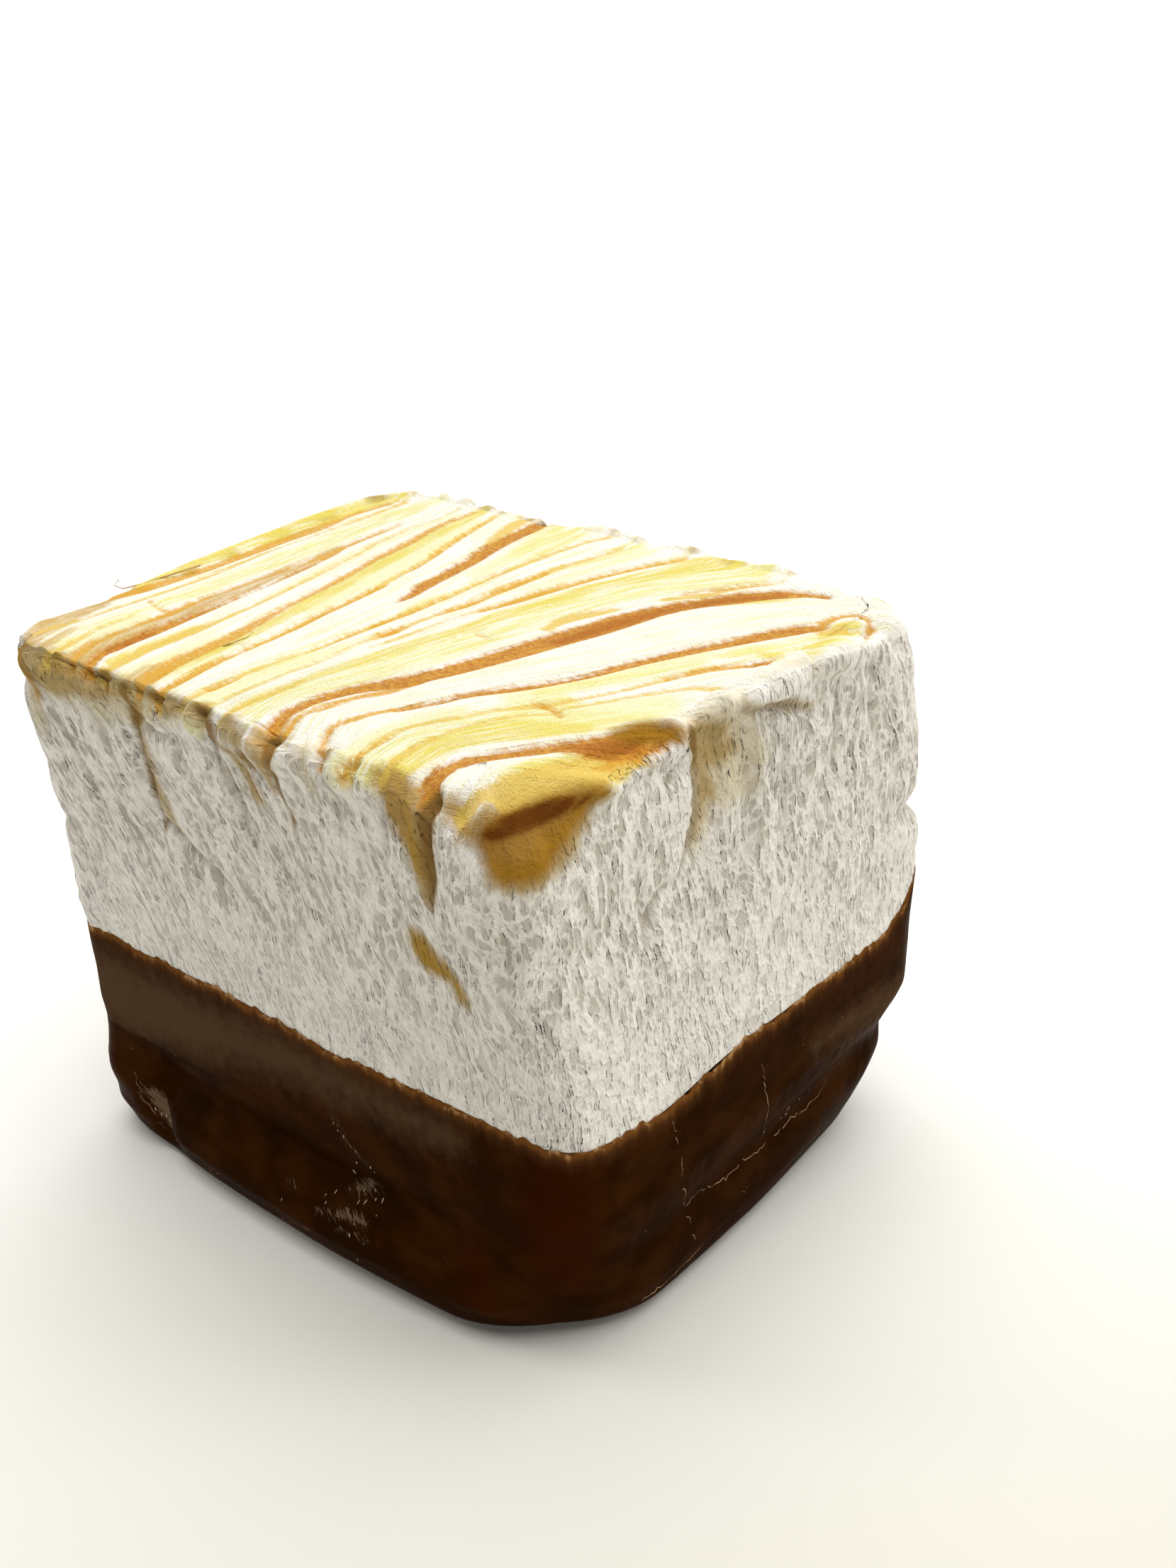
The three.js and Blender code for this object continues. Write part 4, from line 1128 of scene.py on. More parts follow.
RIDGES = [
    on_right(
        [(1.7, 29.2, 0.2), (1.5, 27.8, 0.3), (1.8, 26.3, 0.3), (1.4, 24.4, 0.3)]
        + [(1.3, 23, 0.25), (0.7, 21.6, 0.2), (0.1, 19.6, 0.1)]
    ),
    on_right([(5.7, 27.7, 0.2), (6, 26.7, 0.3), (5.2, 24.8, 0.25), (5, 23.2, 0.1)]),
    on_right([(-5.6, 23, 0.2), (-5.8, 20.8, 0.2), (-5.5, 19, 0.1)]),
    on_right([(9.3, 28.4, 0.15), (9.2, 26, 0.25), (8.8, 23.4, 0.1)]),
    on_right([(12.3, 27.6, 0.15), (12.4, 25, 0.25), (12, 22.4, 0.1)]),
    on_right([(-9.9, 26, 0.1), (-9.6, 23.6, 0.2), (-9.9, 21, 0.1)]),
    on_front([(-9.8, 29, 0.15), (-9.4, 26.6, 0.3), (-8.9, 24.4, 0.25), (-8.5, 22.6, 0.1)]),
]
# These lines and the creases above are also painted darker: painted shade along the flap's ledge and in every
# crease.
SHADES = [
    on_right(
        [(-2.1, 29.4, 0.2), (-1.9, 28, 0.45), (-1.95, 26.8, 0.5)]
        + [(-2.3, 25.6, 0.45), (-3, 24.4, 0.35), (-4, 23.4, 0.2)]
    ),
    on_right([(1.9, 29, 0.2), (1.8, 27.4, 0.35), (2, 26, 0.35), (1.6, 24, 0.3), (1, 21.6, 0.1)]),
]
CREASE_WIDTH = 0.3
fields["shade"] = block_skin.draw(CREASES + SHADES)[0]
print(len(CREASES), "creases and", len(RIDGES), "ridges")


def lines_on(skin, strokes, width=CREASE_WIDTH):
    """How deep a set of creases, or how high a set of ridges, is at each point."""
    inside, size = skin.draw(strokes)[:2]
    return size * bell(size / 2 - inside, width)


# %% Ledges
LEDGES = {
    (1, 0, 0): [
        on_right(
            [(-2.9, 30, 0.2), (-2.4, 29.3, 0.8), (-2.4, 27.8, 1), (-2.7, 26.1, 0.85)]
            + [(-3.2, 24.9, 0.6), (-3.9, 23.8, 0.3), (-4.8, 23.1, 0.1)]
        ),
        on_right(
            [(1.5, 28.9, -0.1), (1.4, 27.4, -0.3), (1.6, 26, -0.3), (1.2, 24, -0.25), (0.6, 21.6, -0.05)]
        ),
    ],
    (0, -1, 0): [
        on_front(
            [(-8.2, 29.4, -0.1), (-8.2, 27.4, -0.35), (-8, 25.2, -0.4)]
            + [(-7.7, 23.4, -0.25), (-6.8, 22.6, -0.05)]
        ),
        on_front([(-1.7, 29.2, 0.1), (-0.9, 27, 0.35), (-0.4, 25.1, 0.25), (0.3, 23.8, 0.05)]),
        on_front([(13.5, 29.6, 0.1), (13.3, 27.4, 0.35), (13.1, 25.2, 0.05)]),
    ],
    (0.6, -0.5, 0.6): [
        [(16.2, -13.7, 28.8, -0.1), (16.8, -12.9, 29.3, -0.4), (17.5, -11.6, 29.7, -0.5)]
        + [(18.2, -9.9, 29.7, -0.45), (18.6, -8.4, 29.3, -0.4), (18.7, -6.6, 29.2, -0.3)]
        + [(18.7, -5, 29.4, -0.1)],
    ],
}
LEDGE_FADE = 1.5
LEDGE_SHARPNESS = 0.13


def ledges(skin):
    """How far each point is sunk, to the left along a stroke, or to the right where its size is negative."""
    sunk = np.zeros(len(skin.points))
    for outward, strokes in LEDGES.items():
        inside, size, side = skin.draw(strokes, outward)
        gap = np.abs(size) / 2 - inside
        low_side = smooth(side * np.sign(size), -LEDGE_SHARPNESS, LEDGE_SHARPNESS)
        sunk += np.abs(size) * low_side * np.exp(-gap / LEDGE_FADE)
    return sunk


print(sum(len(strokes) for strokes in LEDGES.values()), "ledges")

# %% Swellings: the tongue and the lobes of the right edge
SWELLINGS = [
    {
        "height": 0.25,
        "edge": (-0.5, 0.8),
        "strokes": [
            [(15.6, -12.9, 30.5, 1.4), (16.6, -11.3, 30.8, 2.2), (17.4, -9.2, 30.5, 2.4)]
            + [(18, -7, 30, 2), (18.3, -5.4, 29.9, 1)],
        ],
    },
    {
        "height": 0.6,
        "edge": (-0.35, 0.35),
        "strokes": [
            [(18.6, 5.9, 30.7, 0.6), (18.9, 4.9, 30.5, 1.3), (18.9, 3.9, 30.4, 1.2)]
            + [(18.8, 3, 30.3, 1.2), (18.6, 1.9, 30.2, 0.9)],
            [(19.7, 9.4, 30.5, 0.8), (19.6, 8.2, 30.5, 1.2), (19.4, 7, 30.4, 0.8)],
            [(18.6, -1, 30.5, 0.8), (18.5, 0.1, 30.5, 1)],
        ],
    },
]
print("swellings", [swelling["height"] for swelling in SWELLINGS], "mm high")

# %% Sizes of the wrinkles, grooves and lobes
WRINKLES = [
    {"size": (2.6, 2.6, 6), "depth": 0.16, "seed": 51},
    {"size": (1.1, 1.1, 3.6), "depth": 0.16, "seed": 52},
    {"size": (0.62, 0.62, 1.6), "depth": 0.075, "seed": 53},
]
FIBRES = [
    {"size": (1, 1, 4.5), "depth": 0.07, "seed": 60},
    {"size": (0.7, 0.7, 2.6), "depth": 0.04, "seed": 61},
]
CRUMPLE = [
    {"size": (1.5, 1.5, 1.8), "depth": 0.15, "seed": 54},
    {"size": (0.75, 0.75, 0.9), "depth": 0.10, "seed": 55},
    {"size": (0.5, 0.5, 0.6), "depth": 0.05, "seed": 62},
]
CRUMPLED_BELOW = {"from": 15, "to": 22, "wander": 2, "size": 4, "seed": 63}
TOP_RIPPLES = [
    {"size": (1.5, 9, 1), "depth": 0.08, "seed": 56},
    {"size": (0.6, 4, 1), "depth": 0.05, "seed": 57},
]
DENTS = {"size": (8, 8, 7), "depth": 0.18, "seed": 11, "less_on_top": 0.6}
GROOVE_DEPTH = {"brown": 0.2, "amber": 0.14, "honey": 0.1}
GROOVES_ON_SIDE = 0.5
GROOVE_EDGE = (-0.35, 0.2)
RIBBON_EDGE = (-0.5, 0.25)
LOBES = {"depth": 0.7, "below": 0.7, "height": 1.5, "plain": 0.3, "sunk": 0.8, "uneven": 0.7}
LOBE_NOISE = {"size": (1.3, 30, 1), "seed": 58}
UNDERCUT = {"below": 2.1, "height": 0.8, "depth": 0.32, "plain": 0.5, "uneven": 0.8}
UNDERCUT_NOISE = {"size": 2, "seed": 59}
FACES_UP = (0.45, 0.85)
LIES_FLAT = (0.93, 1)
CALM_AT_RIM = 1.2
BACK_NICK = {"z": 19.8, "height": 0.7, "reach": 3, "depth": 0.75}
LEFT_NICK = {"z": 20.4, "height": 0.5, "reach": 2.2, "depth": 0.35}
HIGHEST_TOP = TOP + 0.35
print("wrinkles", [layer["size"][2] for layer in WRINKLES], "mm long")

# %% Relief of the foam
RIDGE_SHARPNESS = 2.2


def ridged(value):
    """Turns soft noise into narrow ridges that reach 1 above wide valleys."""
    return 1 - RIDGE_SHARPNESS * np.abs(value)


def layered(points, layers, shape=np.asarray):
    """The sum of several layers of noise, each with its size, depth and seed."""
    return sum(layer["depth"] * shape(noise(points, layer["size"], layer["seed"])) for layer in layers)


def nicks(points):
    """How far the small cuts at two of the upright edges are worn in."""
    worn = np.zeros(len(points))
    for corner, nick in ((BACK_RIGHT, BACK_NICK), (FRONT_LEFT, LEFT_NICK)):
        near = nick["depth"] * near_corner(points, AT_WAIST, corner, nick["reach"])
        worn += near * bell(points[:, 2] - nick["z"], nick["height"])
    return worn


up = smooth(block_normals[:, 2], *FACES_UP)
height = block_smooth[:, 2]
border = CRUMPLED_BELOW["wander"] * noise(grain, CRUMPLED_BELOW["size"], CRUMPLED_BELOW["seed"])
crumpled = 1 - smooth(height + border, CRUMPLED_BELOW["from"], CRUMPLED_BELOW["to"])
bark = layered(grain, WRINKLES) + layered(grain, FIBRES, ridged)
side_crinkle = (1 - crumpled) * bark + crumpled * layered(grain, CRUMPLE)
top_crinkle = layered(flow, TOP_RIPPLES)
grooves = sum(depth * smooth(fields[tone], *GROOVE_EDGE) for tone, depth in GROOVE_DEPTH.items())
ribbon_near = smooth(np.maximum.reduce([fields[tone] for tone in GROOVE_DEPTH]), *RIBBON_EDGE)
lobe_noise = noise(flow, LOBE_NOISE["size"], LOBE_NOISE["seed"])
at_edge = bell(TOP - height - LOBES["below"], LOBES["height"]) * (1 - smooth(block_normals[:, 2], *LIES_FLAT))
lobe_shape = LOBES["plain"] - LOBES["sunk"] * ribbon_near + LOBES["uneven"] * lobe_noise
lobes = LOBES["depth"] * at_edge * lobe_shape
undercut = UNDERCUT["depth"] * bell(TOP - height - UNDERCUT["below"], UNDERCUT["height"])
undercut_noise = noise(grain, UNDERCUT_NOISE["size"], UNDERCUT_NOISE["seed"])
undercut *= UNDERCUT["plain"] + UNDERCUT["uneven"] * undercut_noise
swelling = sum(s["height"] * smooth(block_skin.draw(s["strokes"])[0], *s["edge"]) for s in SWELLINGS)

# %% Push the foam's skin out
bare = smooth(height - rim_height(block_smooth), 0, CALM_AT_RIM)
dents = layered(block_smooth, [DENTS]) * (1 - DENTS["less_on_top"] * up)
grooves *= GROOVES_ON_SIDE + (1 - GROOVES_ON_SIDE) * up
relief = bare * ((1 - up) * side_crinkle + up * top_crinkle + dents)
relief += bare * (lobes + swelling - (1 - up) * undercut - grooves)
relief += lines_on(block_skin, RIDGES) - lines_on(block_skin, CREASES) - ledges(block_skin)
relief -= nicks(block_smooth) * (1 - up)

block_points = block_smooth + block_normals * relief[:, None]
block_points[:, 2] = np.minimum(block_points[:, 2], HIGHEST_TOP)
block_points[:, :2] += SHIFT
marshmallow = closed_piece("marshmallow_foam", block_points, block_quads, block_fans)
print("relief from", relief.min().round(2), "to", relief.max().round(2), "mm")

# %% Numbers kept on the foam's mesh


def keep_on_mesh(mesh, name, values):
    """Stores one number, or one place, for each point of a mesh."""
    values = np.asarray(values, np.float32)
    kind, key = ("FLOAT", "value") if values.ndim == 1 else ("FLOAT_VECTOR", "vector")
    mesh.attributes.new(name, kind, "POINT").data.foreach_set(key, values.ravel())


for tone, field in fields.items():
    keep_on_mesh(marshmallow.data, tone, field)
keep_on_mesh(marshmallow.data, "flow", flow)
keep_on_mesh(marshmallow.data, "grain", grain)
keep_on_mesh(marshmallow.data, "up", up)
keep_on_mesh(marshmallow.data, "crinkle", (1 - up) * side_crinkle)
keep_on_mesh(marshmallow.data, "crumpled", crumpled)
print("the foam keeps", sorted(fields), "and flow, grain, up, crinkle and crumpled")

# %% [markdown]
# ## Finish of the foam
# The foam is dry and matt, and light sinks a little way into it. Its finest wrinkles are too small for
# the mesh, so they are bump. The hollows of the wrinkles, of the mesh and of the bump alike, get painted
# shade on the sides but not under syrup: a darker tone for the tiny shadows of real foam, weaker where
# the foam is crumpled lower down. The caramel's edges are ragged, since the foam tore as it was folded,
# so a fine noise shifts every distance before it becomes a colour. The tones are laid one over the other,
# roughly from the palest to the darkest, as the real caramel grows thicker. Painted shade along the
# creases and the flap's ledge is laid among them, and foam that stayed clean comes last.

# %% Shader helpers: single nodes


def put(nodes, kind, **settings):
    """A new node with its plain settings and the plain values of its inputs."""
    node = nodes.new("ShaderNode" + kind)
    for key, value in settings.items():
        if key in node.inputs:
            node.inputs[key].default_value = value
        else:
            setattr(node, key, value)
    return node


def kept(material, name, output="Fac"):
    """A number or a place kept on the mesh."""
    return put(material.node_tree.nodes, "Attribute", attribute_name=name).outputs[output]


def feed(material, node, values):
    """Gives a node's inputs their values, each a number or an output of another node."""
    for socket, value in values:
        if isinstance(value, bpy.types.NodeSocket):
            material.node_tree.links.new(value, socket)
        elif value is not None:
            socket.default_value = value


def calc(material, operation, first, second=None, third=None):
    """One step of arithmetic."""
    node = put(material.node_tree.nodes, "Math", operation=operation)
    feed(material, node, zip(node.inputs, (first, second, third)))
    return node.outputs[0]


# %% Shader helpers: colour, place and noise


def ramp(material, value, start, end, low=0.0, high=1.0):
    """Goes smoothly from low to high as the value goes from start to end."""
    node = put(material.node_tree.nodes, "MapRange", interpolation_type="SMOOTHSTEP")
    feed(material, node, zip(node.inputs[:5], (value, start, end, low, high)))
    return node.outputs[0]


def mix_colour(material, share, under, over):
    """Lays one colour over another."""
    node = put(material.node_tree.nodes, "Mix", data_type="RGBA")
    colours = [socket for socket in node.inputs if socket.type == "RGBA"]
    plain = [value if isinstance(value, bpy.types.NodeSocket) else (*value, 1) for value in (under, over)]
    feed(material, node, zip([node.inputs[0], *colours], [share, *plain]))
    return next(socket for socket in node.outputs if socket.type == "RGBA")


def scaled(material, place, scale):
    """A place in mm, scaled along each axis."""
    node = put(material.node_tree.nodes, "Mapping")
    node.inputs["Scale"].default_value = scale
    material.node_tree.links.new(place, node.inputs["Vector"])
    return node.outputs["Vector"]


def in_mm(material):
    """The object's own coordinates in mm."""
    return scaled(material, put(material.node_tree.nodes, "TexCoord").outputs["Object"], (1 / MM,) * 3)


def fractal(material, place, scale, detail=2.0, roughness=0.5):
    """Noise from 0 to 1, with so many bumps to the mm along each axis."""
    node = put(material.node_tree.nodes, "TexNoise", Scale=1.0, Detail=detail, Roughness=roughness)
    material.node_tree.links.new(scaled(material, place, scale), node.inputs["Vector"])
    return node.outputs["Fac"]


# %% Tones of the foam and of its caramel
FOAM_WHITE = (0.92, 0.895, 0.84)
# The hollow tone is painted shade, laid in the hollows of the wrinkles.
FOAM_PAINTED_SHADE = (0.46, 0.42, 0.355)
STAIN_TONE = (0.44, 0.31, 0.12)
SOAKED_TONE = (0.42, 0.24, 0.028)
SYRUP_TONE = (0.34, 0.165, 0.009)
CREAM_TONE = (0.86, 0.84, 0.52)
LEMON_TONE = (0.80, 0.76, 0.30)
YELLOW_TONE = (0.76, 0.65, 0.14)
HONEY_TONE = (0.74, 0.53, 0.12)
AMBER_TONE = (0.68, 0.36, 0.045)
BROWN_GOLD = (0.62, 0.31, 0.04)
BROWN_TONE = (0.48, 0.18, 0.022)
DEEP_TONE = (0.40, 0.125, 0.02)
ARC_TONE = (0.14, 0.038, 0.001)
TAN_TONE = (0.60, 0.41, 0.16)
BEIGE_TONE = (0.70, 0.61, 0.42)
DRIP_TONE = (0.26, 0.145, 0.035)
SHADE_TONE = (0.33, 0.28, 0.21)
print("foam white", FOAM_WHITE, "to arc brown", ARC_TONE)

# %% Noises of the foam's finish
FOAM_ROUGHNESS = 0.85
FOAM_SPECULAR = 0.12
FOAM_DEPTH = {"weight": 0.15, "radius": (1.0, 0.85, 0.65), "scale": 0.25 * MM}
FEATHERS = {"scale": (1.1, 3.4, 2.6), "shift": 0.5}
STREAKS = {"scale": (2.6, 0.16, 1), "shift": 0.6}
FINE_STREAKS = (5, 0.3, 1)
GRANULES = (4.5, 4.5, 4.5)
CRINKLE_PAINTED_SHADE = (-0.25, 0.1, 0.3, 0.0)
FINE_PAINTED_SHADE = (0.05, 0.75, 0.72, 0.0)
FIBRE_BUMP = {"scale": (1.6, 1.6, 0.32), "crest": 0.15, "depth": 0.115 * MM}
CRUMB_BUMP = {"scale": (2.4, 2.4, 1.1), "crest": 0.15, "depth": 0.072 * MM}
FINEST_BUMP = {"scale": (7, 7, 5), "depth": 0.12 * MM}
TOP_STREAK_BUMP = 0.1 * MM

foam = new_material("foam_with_caramel")
foam_shader = flat_colour(foam, FOAM_WHITE, FOAM_ROUGHNESS)
foam_shader.inputs["Specular IOR Level"].default_value = FOAM_SPECULAR
foam_shader.inputs["Subsurface Weight"].default_value = FOAM_DEPTH["weight"]
foam_shader.inputs["Subsurface Radius"].default_value = FOAM_DEPTH["radius"]
foam_shader.inputs["Subsurface Scale"].default_value = FOAM_DEPTH["scale"]

foam_place = in_mm(foam)
grain_place = kept(foam, "grain", "Vector")
flow_place = kept(foam, "flow", "Vector")
on_the_top = kept(foam, "up")
feathers = fractal(foam, foam_place, FEATHERS["scale"], 3.0, 0.6)
streaks = fractal(foam, flow_place, STREAKS["scale"], 3.0, 0.6)
fine_streaks = fractal(foam, flow_place, FINE_STREAKS, 2.0, 0.6)
granules = fractal(foam, foam_place, GRANULES, 3.0, 0.65)

# %% Ragged edges, crests and hollows


def swung(material, noise_output, amount, start=0.0):
    """A start value, pushed up or down by a noise from 0 to 1."""
    return calc(material, "MULTIPLY_ADD", calc(material, "SUBTRACT", noise_output, 0.5), amount, start)


shove = swung(foam, streaks, STREAKS["shift"], swung(foam, feathers, FEATHERS["shift"]))


def toned(under, tone, colour, softness, strength=1.0, ragged=1.0):
    """Lays a tone over what is there, with edges as ragged as the foam. The strength may be an output too."""
    edge = calc(foam, "MULTIPLY_ADD", shove, ragged, kept(foam, tone))
    share = ramp(foam, edge, -softness, softness, 0.0, strength)
    return mix_colour(foam, share, under, colour)


def crests(noise_output, width):
    """Turns soft noise into thin crests between wide hollows."""
    off = calc(foam, "ABSOLUTE", calc(foam, "SUBTRACT", noise_output, 0.5))
    return ramp(foam, off, 0.0, width, 1.0, 0.0)


fibres = crests(fractal(foam, grain_place, FIBRE_BUMP["scale"], 1.5, 0.5), FIBRE_BUMP["crest"])
crumbs = crests(fractal(foam, grain_place, CRUMB_BUMP["scale"], 1.5, 0.5), CRUMB_BUMP["crest"])
finest = fractal(foam, grain_place, FINEST_BUMP["scale"], 2.0, 0.6)

# %% Painted shade in the hollows
TOP_BEGINS = 0.25
UNDER_SYRUP = (-0.5, 0.3, 1.0, 0.25)
CRUMPLED_SHARE = 0.5
# Painted shade: the hollows of the mesh's crinkle and of the bump's crests get darker on the sides, less so
# where the foam is crumpled lower down.
wide = ramp(foam, kept(foam, "crinkle"), *CRINKLE_PAINTED_SHADE)
fine_height = calc(foam, "MULTIPLY_ADD", fibres, 0.5, calc(foam, "MULTIPLY", crumbs, 0.5))
fine = ramp(foam, fine_height, *FINE_PAINTED_SHADE)
bare_of_syrup = ramp(foam, kept(foam, "syrup"), *UNDER_SYRUP)
upright = calc(foam, "MULTIPLY", ramp(foam, on_the_top, 0.0, TOP_BEGINS, 1.0, 0.0), bare_of_syrup)
shade_share = calc(foam, "MULTIPLY", ramp(foam, kept(foam, "crumpled"), 0.0, 1.0, 1.0, CRUMPLED_SHARE), upright)
painted_shade = calc(foam, "MULTIPLY", calc(foam, "ADD", wide, fine), shade_share)
foam_colour = mix_colour(foam, painted_shade, FOAM_WHITE, FOAM_PAINTED_SHADE)
print("hollows are tinted up to", CRINKLE_PAINTED_SHADE[2], "and", FINE_PAINTED_SHADE[2])

# %% Colours laid over the foam
PALE_STREAKS = (0.48, 0.62, 0.0, 0.55)
GOLD_STREAKS = (0.5, 0.62, 0.0, 0.3)
GOLD_STREAK_TONE = (0.80, 0.70, 0.30)
LEMON_STREAKS = (0.38, 0.6, 0.2, 0.95)
YELLOW_STREAKS = (0.36, 0.56, 0.45, 0.95)
TAN_STREAKS = (0.4, 0.56, 0.6, 0.95)
AMBER_GRAIN = (0.36, 0.5, 0.7, 0.95)
GOLD_GRAIN = (0.38, 0.6)


def laid_over(under, *tones):
    """Lays tones over what is there, one after another."""
    for tone in tones:
        under = toned(under, *tone)
    return under


pale_share = calc(foam, "MULTIPLY", ramp(foam, streaks, *PALE_STREAKS), on_the_top)
foam_colour = mix_colour(foam, pale_share, foam_colour, CREAM_TONE)
foam_colour = laid_over(
    foam_colour,
    ("cream", CREAM_TONE, 0.45, 0.85),
    ("lemon", LEMON_TONE, 0.4, ramp(foam, fine_streaks, *LEMON_STREAKS)),
)
gold_share = calc(foam, "MULTIPLY", ramp(foam, fine_streaks, *GOLD_STREAKS), on_the_top)
foam_colour = mix_colour(foam, gold_share, foam_colour, GOLD_STREAK_TONE)
brown_tone = mix_colour(foam, ramp(foam, granules, *GOLD_GRAIN), BROWN_TONE, BROWN_GOLD)
foam_colour = laid_over(
    foam_colour,
    # tone, colour, softness, strength, raggedness where it isn't 1
    ("beige", BEIGE_TONE, 0.6, 0.8),
    ("stained", STAIN_TONE, 0.45, 0.92),
    ("soaked", SOAKED_TONE, 0.5, 0.9),
    ("yellow", YELLOW_TONE, 0.3, ramp(foam, fine_streaks, *YELLOW_STREAKS)),
    ("tan", TAN_TONE, 0.3, ramp(foam, fine_streaks, *TAN_STREAKS)),
    ("honey", HONEY_TONE, 0.2, 0.9),
    ("amber", AMBER_TONE, 0.2, ramp(foam, granules, *AMBER_GRAIN)),
    ("brown", brown_tone, 0.2, 0.97),
    ("deep", DEEP_TONE, 0.4, 0.75),
    # painted shade along the creases and the flap's ledge
    ("shade", SHADE_TONE, 0.25, 0.6, 0.4),
    ("drip", DRIP_TONE, 0.2, 0.92, 0.4),
    ("syrup", SYRUP_TONE, 0.45, 0.97, 0.4),
    ("arc", ARC_TONE, 0.22, 0.96, 0.2),
    ("clean", FOAM_WHITE, 0.12, 0.95, 0.2),
)
foam.node_tree.links.new(foam_colour, foam_shader.inputs["Base Color"])
print("the foam's colour takes", len(foam.node_tree.nodes), "nodes")

# %% Foam bump


def bumped(material, height, distance, below=None):
    """The normal after one layer of bump, on top of the layer below."""
    node = put(material.node_tree.nodes, "Bump", Strength=1.0, Distance=distance)
    feed(material, node, ((node.inputs["Height"], height), (node.inputs["Normal"], below)))
    return node.outputs["Normal"]


def only_upright(height):
    """A height centred on 0 that fades out on the top, so that no step shows at the edge."""
    return calc(foam, "MULTIPLY", calc(foam, "SUBTRACT", height, 0.5), upright)


foam_normal = bumped(foam, only_upright(fibres), FIBRE_BUMP["depth"])
foam_normal = bumped(foam, only_upright(crumbs), CRUMB_BUMP["depth"], foam_normal)
foam_normal = bumped(foam, finest, FINEST_BUMP["depth"], foam_normal)
foam_normal = bumped(foam, calc(foam, "MULTIPLY", fine_streaks, on_the_top), TOP_STREAK_BUMP, foam_normal)
foam.node_tree.links.new(foam_normal, foam_shader.inputs["Normal"])
marshmallow.data.materials.append(foam)
print("the foam's finish has", len(foam.node_tree.nodes), "nodes")

# %% [markdown]
# ## The chocolate
# Dipped chocolate clings: near the dip line it is thinner than a fingernail, and its edge has fine teeth
# where it crept into the wrinkles of the foam. Lower down it is a smooth wall, and at the table it spread
# to a foot with a soft fold above it. We could thicken a copy of the foam's skin, but the foot is wider
# than the foam. So it is one closed skin of its own, outside and inside. The rim's outside lies a hair
# proud of the foam and its inside a hair within, so no light shows between them.

# %% Rings of the chocolate
FOOT_ROWS = 32
WALL_ROWS = 42
WALL_FROM = 6.2
LIP_PROUD = 0.06
LIP_FADES_OVER = 3
LIP_CREST = {"inset": 0.1, "rise": 0.02}
LIP_INSIDE = {"inset": 0.3, "drop": 0.35}
INNER_INSET = 0.25
TEETH = {"size": (0.55, 0.55, 9), "height": 0.27, "seed": 21}
WANDER = {"size": (2.6, 2.6, 9), "height": 0.3, "seed": 22}
INNER_HEIGHTS = (11.5, 8, 4.1)
SOLE_HEIGHTS = (0, 0.04, 0.12, 0.25, 0.45, 0.7, 0.95)


def toothed_rim(plan):
    """Height of the chocolate's upper edge, with its fine teeth."""
    spots = in_space(plan, 0)
    teeth = TEETH["height"] * noise(spots, TEETH["size"], TEETH["seed"])
    return rim_height(plan) + teeth + WANDER["height"] * noise(spots, WANDER["size"], WANDER["seed"])


rim_plan = block_side(RIM)
rim_line = toothed_rim(rim_plan)


def outside_ring(height):
    """The outside at a height, as if the dip line were level at RIM."""
    plain = side_points(SHELL_OUTLINES, AROUND_U, AROUND_V, height)
    under = np.clip(1 - height / FOOT_ROUND, 0, 1)
    tuck = FOOT_ROUND * (1 - math.sqrt(1 - under**2))
    lip = LIP_PROUD * smooth(height, RIM - LIP_FADES_OVER, RIM)
    plan = stand_off(plain, SHELL_MIDDLE, lip - tuck)
    return in_space(plan, height * rim_line / RIM)


foot_heights = np.linspace(FOOT_ROUND, WALL_FROM, FOOT_ROWS)
wall_heights = np.linspace(WALL_FROM, RIM, WALL_ROWS + 1)[1:]
shell_rings = [outside_ring(height) for height in (*SOLE_HEIGHTS, *foot_heights, *wall_heights)]
outside_count = len(shell_rings) * COLUMNS
shell_rings.append(drawn_in(rim_plan, LIP_CREST["inset"], rim_line + LIP_CREST["rise"]))
shell_rings.append(drawn_in(rim_plan, LIP_INSIDE["inset"], rim_line - LIP_INSIDE["drop"]))
shell_rings += [drawn_in(block_side(z), INNER_INSET, z) for z in INNER_HEIGHTS]
shell_rings.append(drawn_in(block_side(BLOCK_FLOOR), FLOOR_INSET, SOLE))
print("chocolate rises to", rim_line.min().round(1), "mm at least and", rim_line.max().round(1), "at most")

# %% Net of the chocolate
shell_quads = np.concatenate(nets_between(shell_rings))
shell_smooth = np.concatenate(shell_rings + [[[*SHELL_MIDDLE, 0], [*BLOCK_MIDDLE, SOLE]]])
shell_count = len(shell_smooth)
top_ring = np.arange(COLUMNS) + (len(shell_rings) - 1) * COLUMNS
shell_fans = [(shell_count - 2, np.arange(COLUMNS)), (shell_count - 1, top_ring[::-1])]
print("chocolate has", len(shell_rings), "rings")

# %% [markdown]
# ## Relief of the chocolate
# The outside gets its own relief: a fold above the foot where the last chocolate slid down and set, wide
# soft dents, and a slight ripple. It fades out at the rim, where the skin is too thin to hold it, and at
# the table, where it lies flat. Sculpting would do for one sweet, but strokes and noise can be repeated.

# %% Relief of the chocolate
CHOC_DENTS = {"size": (8, 8, 5), "depth": 0.14, "seed": 23}
CHOC_RIPPLE = {"size": (2.6, 2.6, 1.8), "depth": 0.025, "seed": 24}
FOLDS = [
    on_front(
        [(-12.9, 6.2, 0.2), (-11.8, 5.2, 0.8), (-7.4, 4.9, 0.7), (-3, 4.8, 0.65)]
        + [(1.3, 4.8, 0.6), (6, 5.2, 0.5), (11.3, 5.7, 0.3)]
    ),
    on_front([(-12.9, 3.6, 0.3), (-12.4, 2.2, 0.55), (-12.2, 1.2, 0.5)]),
    on_right([(-9, 5.4, 0.1), (-3, 5.2, 0.25), (4, 5.4, 0.3), (10, 5.9, 0.3), (14, 6.2, 0.3)]),
    on_left([(-10, 5.6, 0.2), (0, 5.4, 0.4), (10, 5.7, 0.3)]),
    on_back([(-14, 5.5, 0.2), (0, 5.2, 0.4), (13, 5.8, 0.2)]),
]
